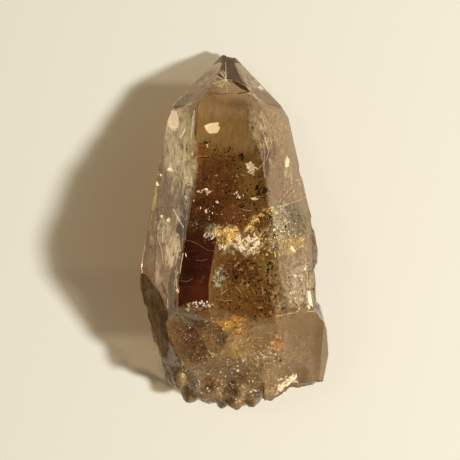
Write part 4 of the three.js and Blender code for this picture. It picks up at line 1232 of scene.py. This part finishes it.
# ---------------------------------------------------------------- threads
needles("pale_threads", white, [
    (0.09, [(-0.95, 29.2), (-0.85, 27.0), (-0.65, 23.4)]),
    (0.22, [(-0.85, 25.8), (-1.5, 26.7)]),
    (0.12, [(-0.85, 25.8), (-1.8, 27.2)]),
    (0.14, [(-0.85, 25.8), (-1.1, 27.2)]),
    (0.2, [(-0.95, 25.8), (0.2, 25.7)]),
    (0.14, [(-0.85, 25.8), (-2.4, 26.4)]),
    (0.11, [(-0.85, 25.8), (-3.0, 25.1)]),
    (0.13, [(-0.85, 25.8), (-1.7, 24.4)]),
    (0.11, [(-0.85, 25.8), (-0.1, 24.7)]),
    (0.11, [(2.9, 23.4), (4.6, 23.0), (6.9, 22.3)]),
    (0.06, [(4.0, 22.6), (5.8, 22.2), (8.0, 21.2)]),
    (0.07, [(7.1, 16.3), (8.0, 14.6), (9.0, 12.7)]),
    (0.06, [(6.9, 15.6), (6.2, 13.6), (5.7, 11.9)]),
    (0.07, [(8.9, 10.5), (8.9, 7.9)]),
    (0.07, [(7.5, 4.2), (9.8, 4.9), (11.8, 5.6)]),
    (0.06, [(8.6, 6.0), (10.2, 7.8)]),
    (0.05, [(9.2, 5.8), (10.6, 7.2)]),
    (0.06, [(10.6, 8.8), (12.0, 9.2)]),
    (0.08, [(7.2, -13.4), (10.5, -13.1), (14.0, -12.9)]),
    (0.07, [(5.4, 11.6), (4.3, 10.2)]),
    (0.06, [(5.1, 15.4), (5.5, 12.8), (5.3, 10.8), (5.5, 9.0)]),
    (0.05, [(1.6, 3.9), (2.6, 3.6), (3.4, 3.6)]),
], 0.3)
needles("left_threads", painted_sheen, [
    (0.06, [(-8.9, 15.4), (-9.2, 13.9), (-9.2, 10.3)]),
    (0.14, [(-7.6, 17.3), (-8.0, 16.4), (-8.4, 15.8)]),
    (0.06, [(-9.0, 11.7), (-8.0, 11.9), (-7.5, 12.1)]),
    (0.15, [(-9.4, 3.9), (-8.6, 2.4), (-7.6, 0.9)]),
    (0.08, [(-12.2, 12.6), (-12.5, 11.4), (-12.8, 10.2)]),
    (0.12, [(-14.5, -0.2), (-15.0, -2.6), (-15.2, -5.4)]),
    (0.10, [(-11.2, 0.1), (-11.2, -1.6)]),
    (0.08, [(-12.2, -0.3), (-11.3, -2.9), (-11.0, -5.0)]),
    (0.07, [(-10.7, -1.2), (-10.2, -3.4)]),
    (0.06, [(-13.2, 3.2), (-13.6, 0.4)]),
    (0.06, [(-6.3, 19.5), (-6.6, 14.8)]),
    (0.05, [(-5.6, 22.0), (-6.6, 21.6), (-7.4, 21.5)]),
], 0.3)
needles("column_threads", tan, [
    (0.06, [(-7.3, -1.3), (-6.7, -1.2), (-5.4, -1.8), (-3.8, -2.8), (-2.6, -2.9)]),
    (0.07, [(-5.6, -4.4), (-4.4, -4.4), (-3.8, -4.2)]),
    (0.09, [(-8.2, -7.6), (-7.2, -7.8), (-6.2, -7.3)]),
    (0.05, [(-8.2, -12.9), (-5.9, -12.4), (-3.8, -12.6)]),
    (0.05, [(-7.5, -17.5), (-5.1, -16.0)]),
    (0.07, [(-2.4, -1.4), (-3.2, -6.0), (-3.6, -11.0)]),
    (0.06, [(-4.9, -8.0), (-4.4, -6.9)]),
], 0.3)
needles("gold_threads", gold, [
    (0.07, [(-1.6, -9.9), (-0.6, -9.0)]),
    (0.05, [(-2.1, -10.6), (-1.0, -10.9), (0.2, -10.8)]),
    (0.05, [(0.8, -8.5), (1.6, -9.6)]),
    (0.07, [(2.9, -16.9), (4.9, -17.0)]),
    (0.06, [(-1.0, -17.2), (0.6, -18.2), (1.4, -19.5)]),
    (0.06, [(-0.6, -17.9), (0.8, -16.9)]),
    (0.05, [(4.7, -13.0), (6.4, -14.3)]),
    (0.05, [(4.4, -13.6), (5.6, -14.4)]),
    (0.09, [(1.9, -13.0), (2.0, -14.2)]),
    (0.06, [(-3.9, 12.6), (-5.4, 12.6)]),
], 0.3)
needles("dark_threads", dark, [
    (0.2, [(-12.1, 4.0), (-12.3, 0.0), (-12.6, -6.4)]),
    (0.08, [(-4.3, 23.2), (-1.6, 23.2), (0.2, 23.4)]),
    (0.15, [(1.1, 23.3), (3.2, 23.7)]),
    (0.08, [(-6.0, 19.2), (-5.9, 17.0), (-5.8, 15.2)]),
    (0.07, [(-10.3, 6.4), (-10.5, 3.4)]),
    (0.07, [(-11.4, -0.6), (-10.8, -4.8)]),
    (0.07, [(-9.1, 15.2), (-8.4, 15.9)]),
    (0.06, [(-9.2, 14.2), (-9.3, 10.5)]),
    (0.06, [(-8.6, 9.2), (-7.2, 8.6), (-6.8, 8.0)]),
    (0.06, [(5.4, 15.2), (5.9, 13.6), (5.5, 11.8)]),
    (0.10, [(-5.4, 12.35), (-3.6, 12.4)]),
], 0.28)
shards("apex_grains", dark, [
    patch((0.85, 26.8), (0.12, 0.15), 6, (0.1, 0.16), (0.1, 0.2)),
    patch((1.7, 25.5), (0.1, 0.15), 5, (0.08, 0.14), (0.1, 0.2)),
], 12, flat=0.6)
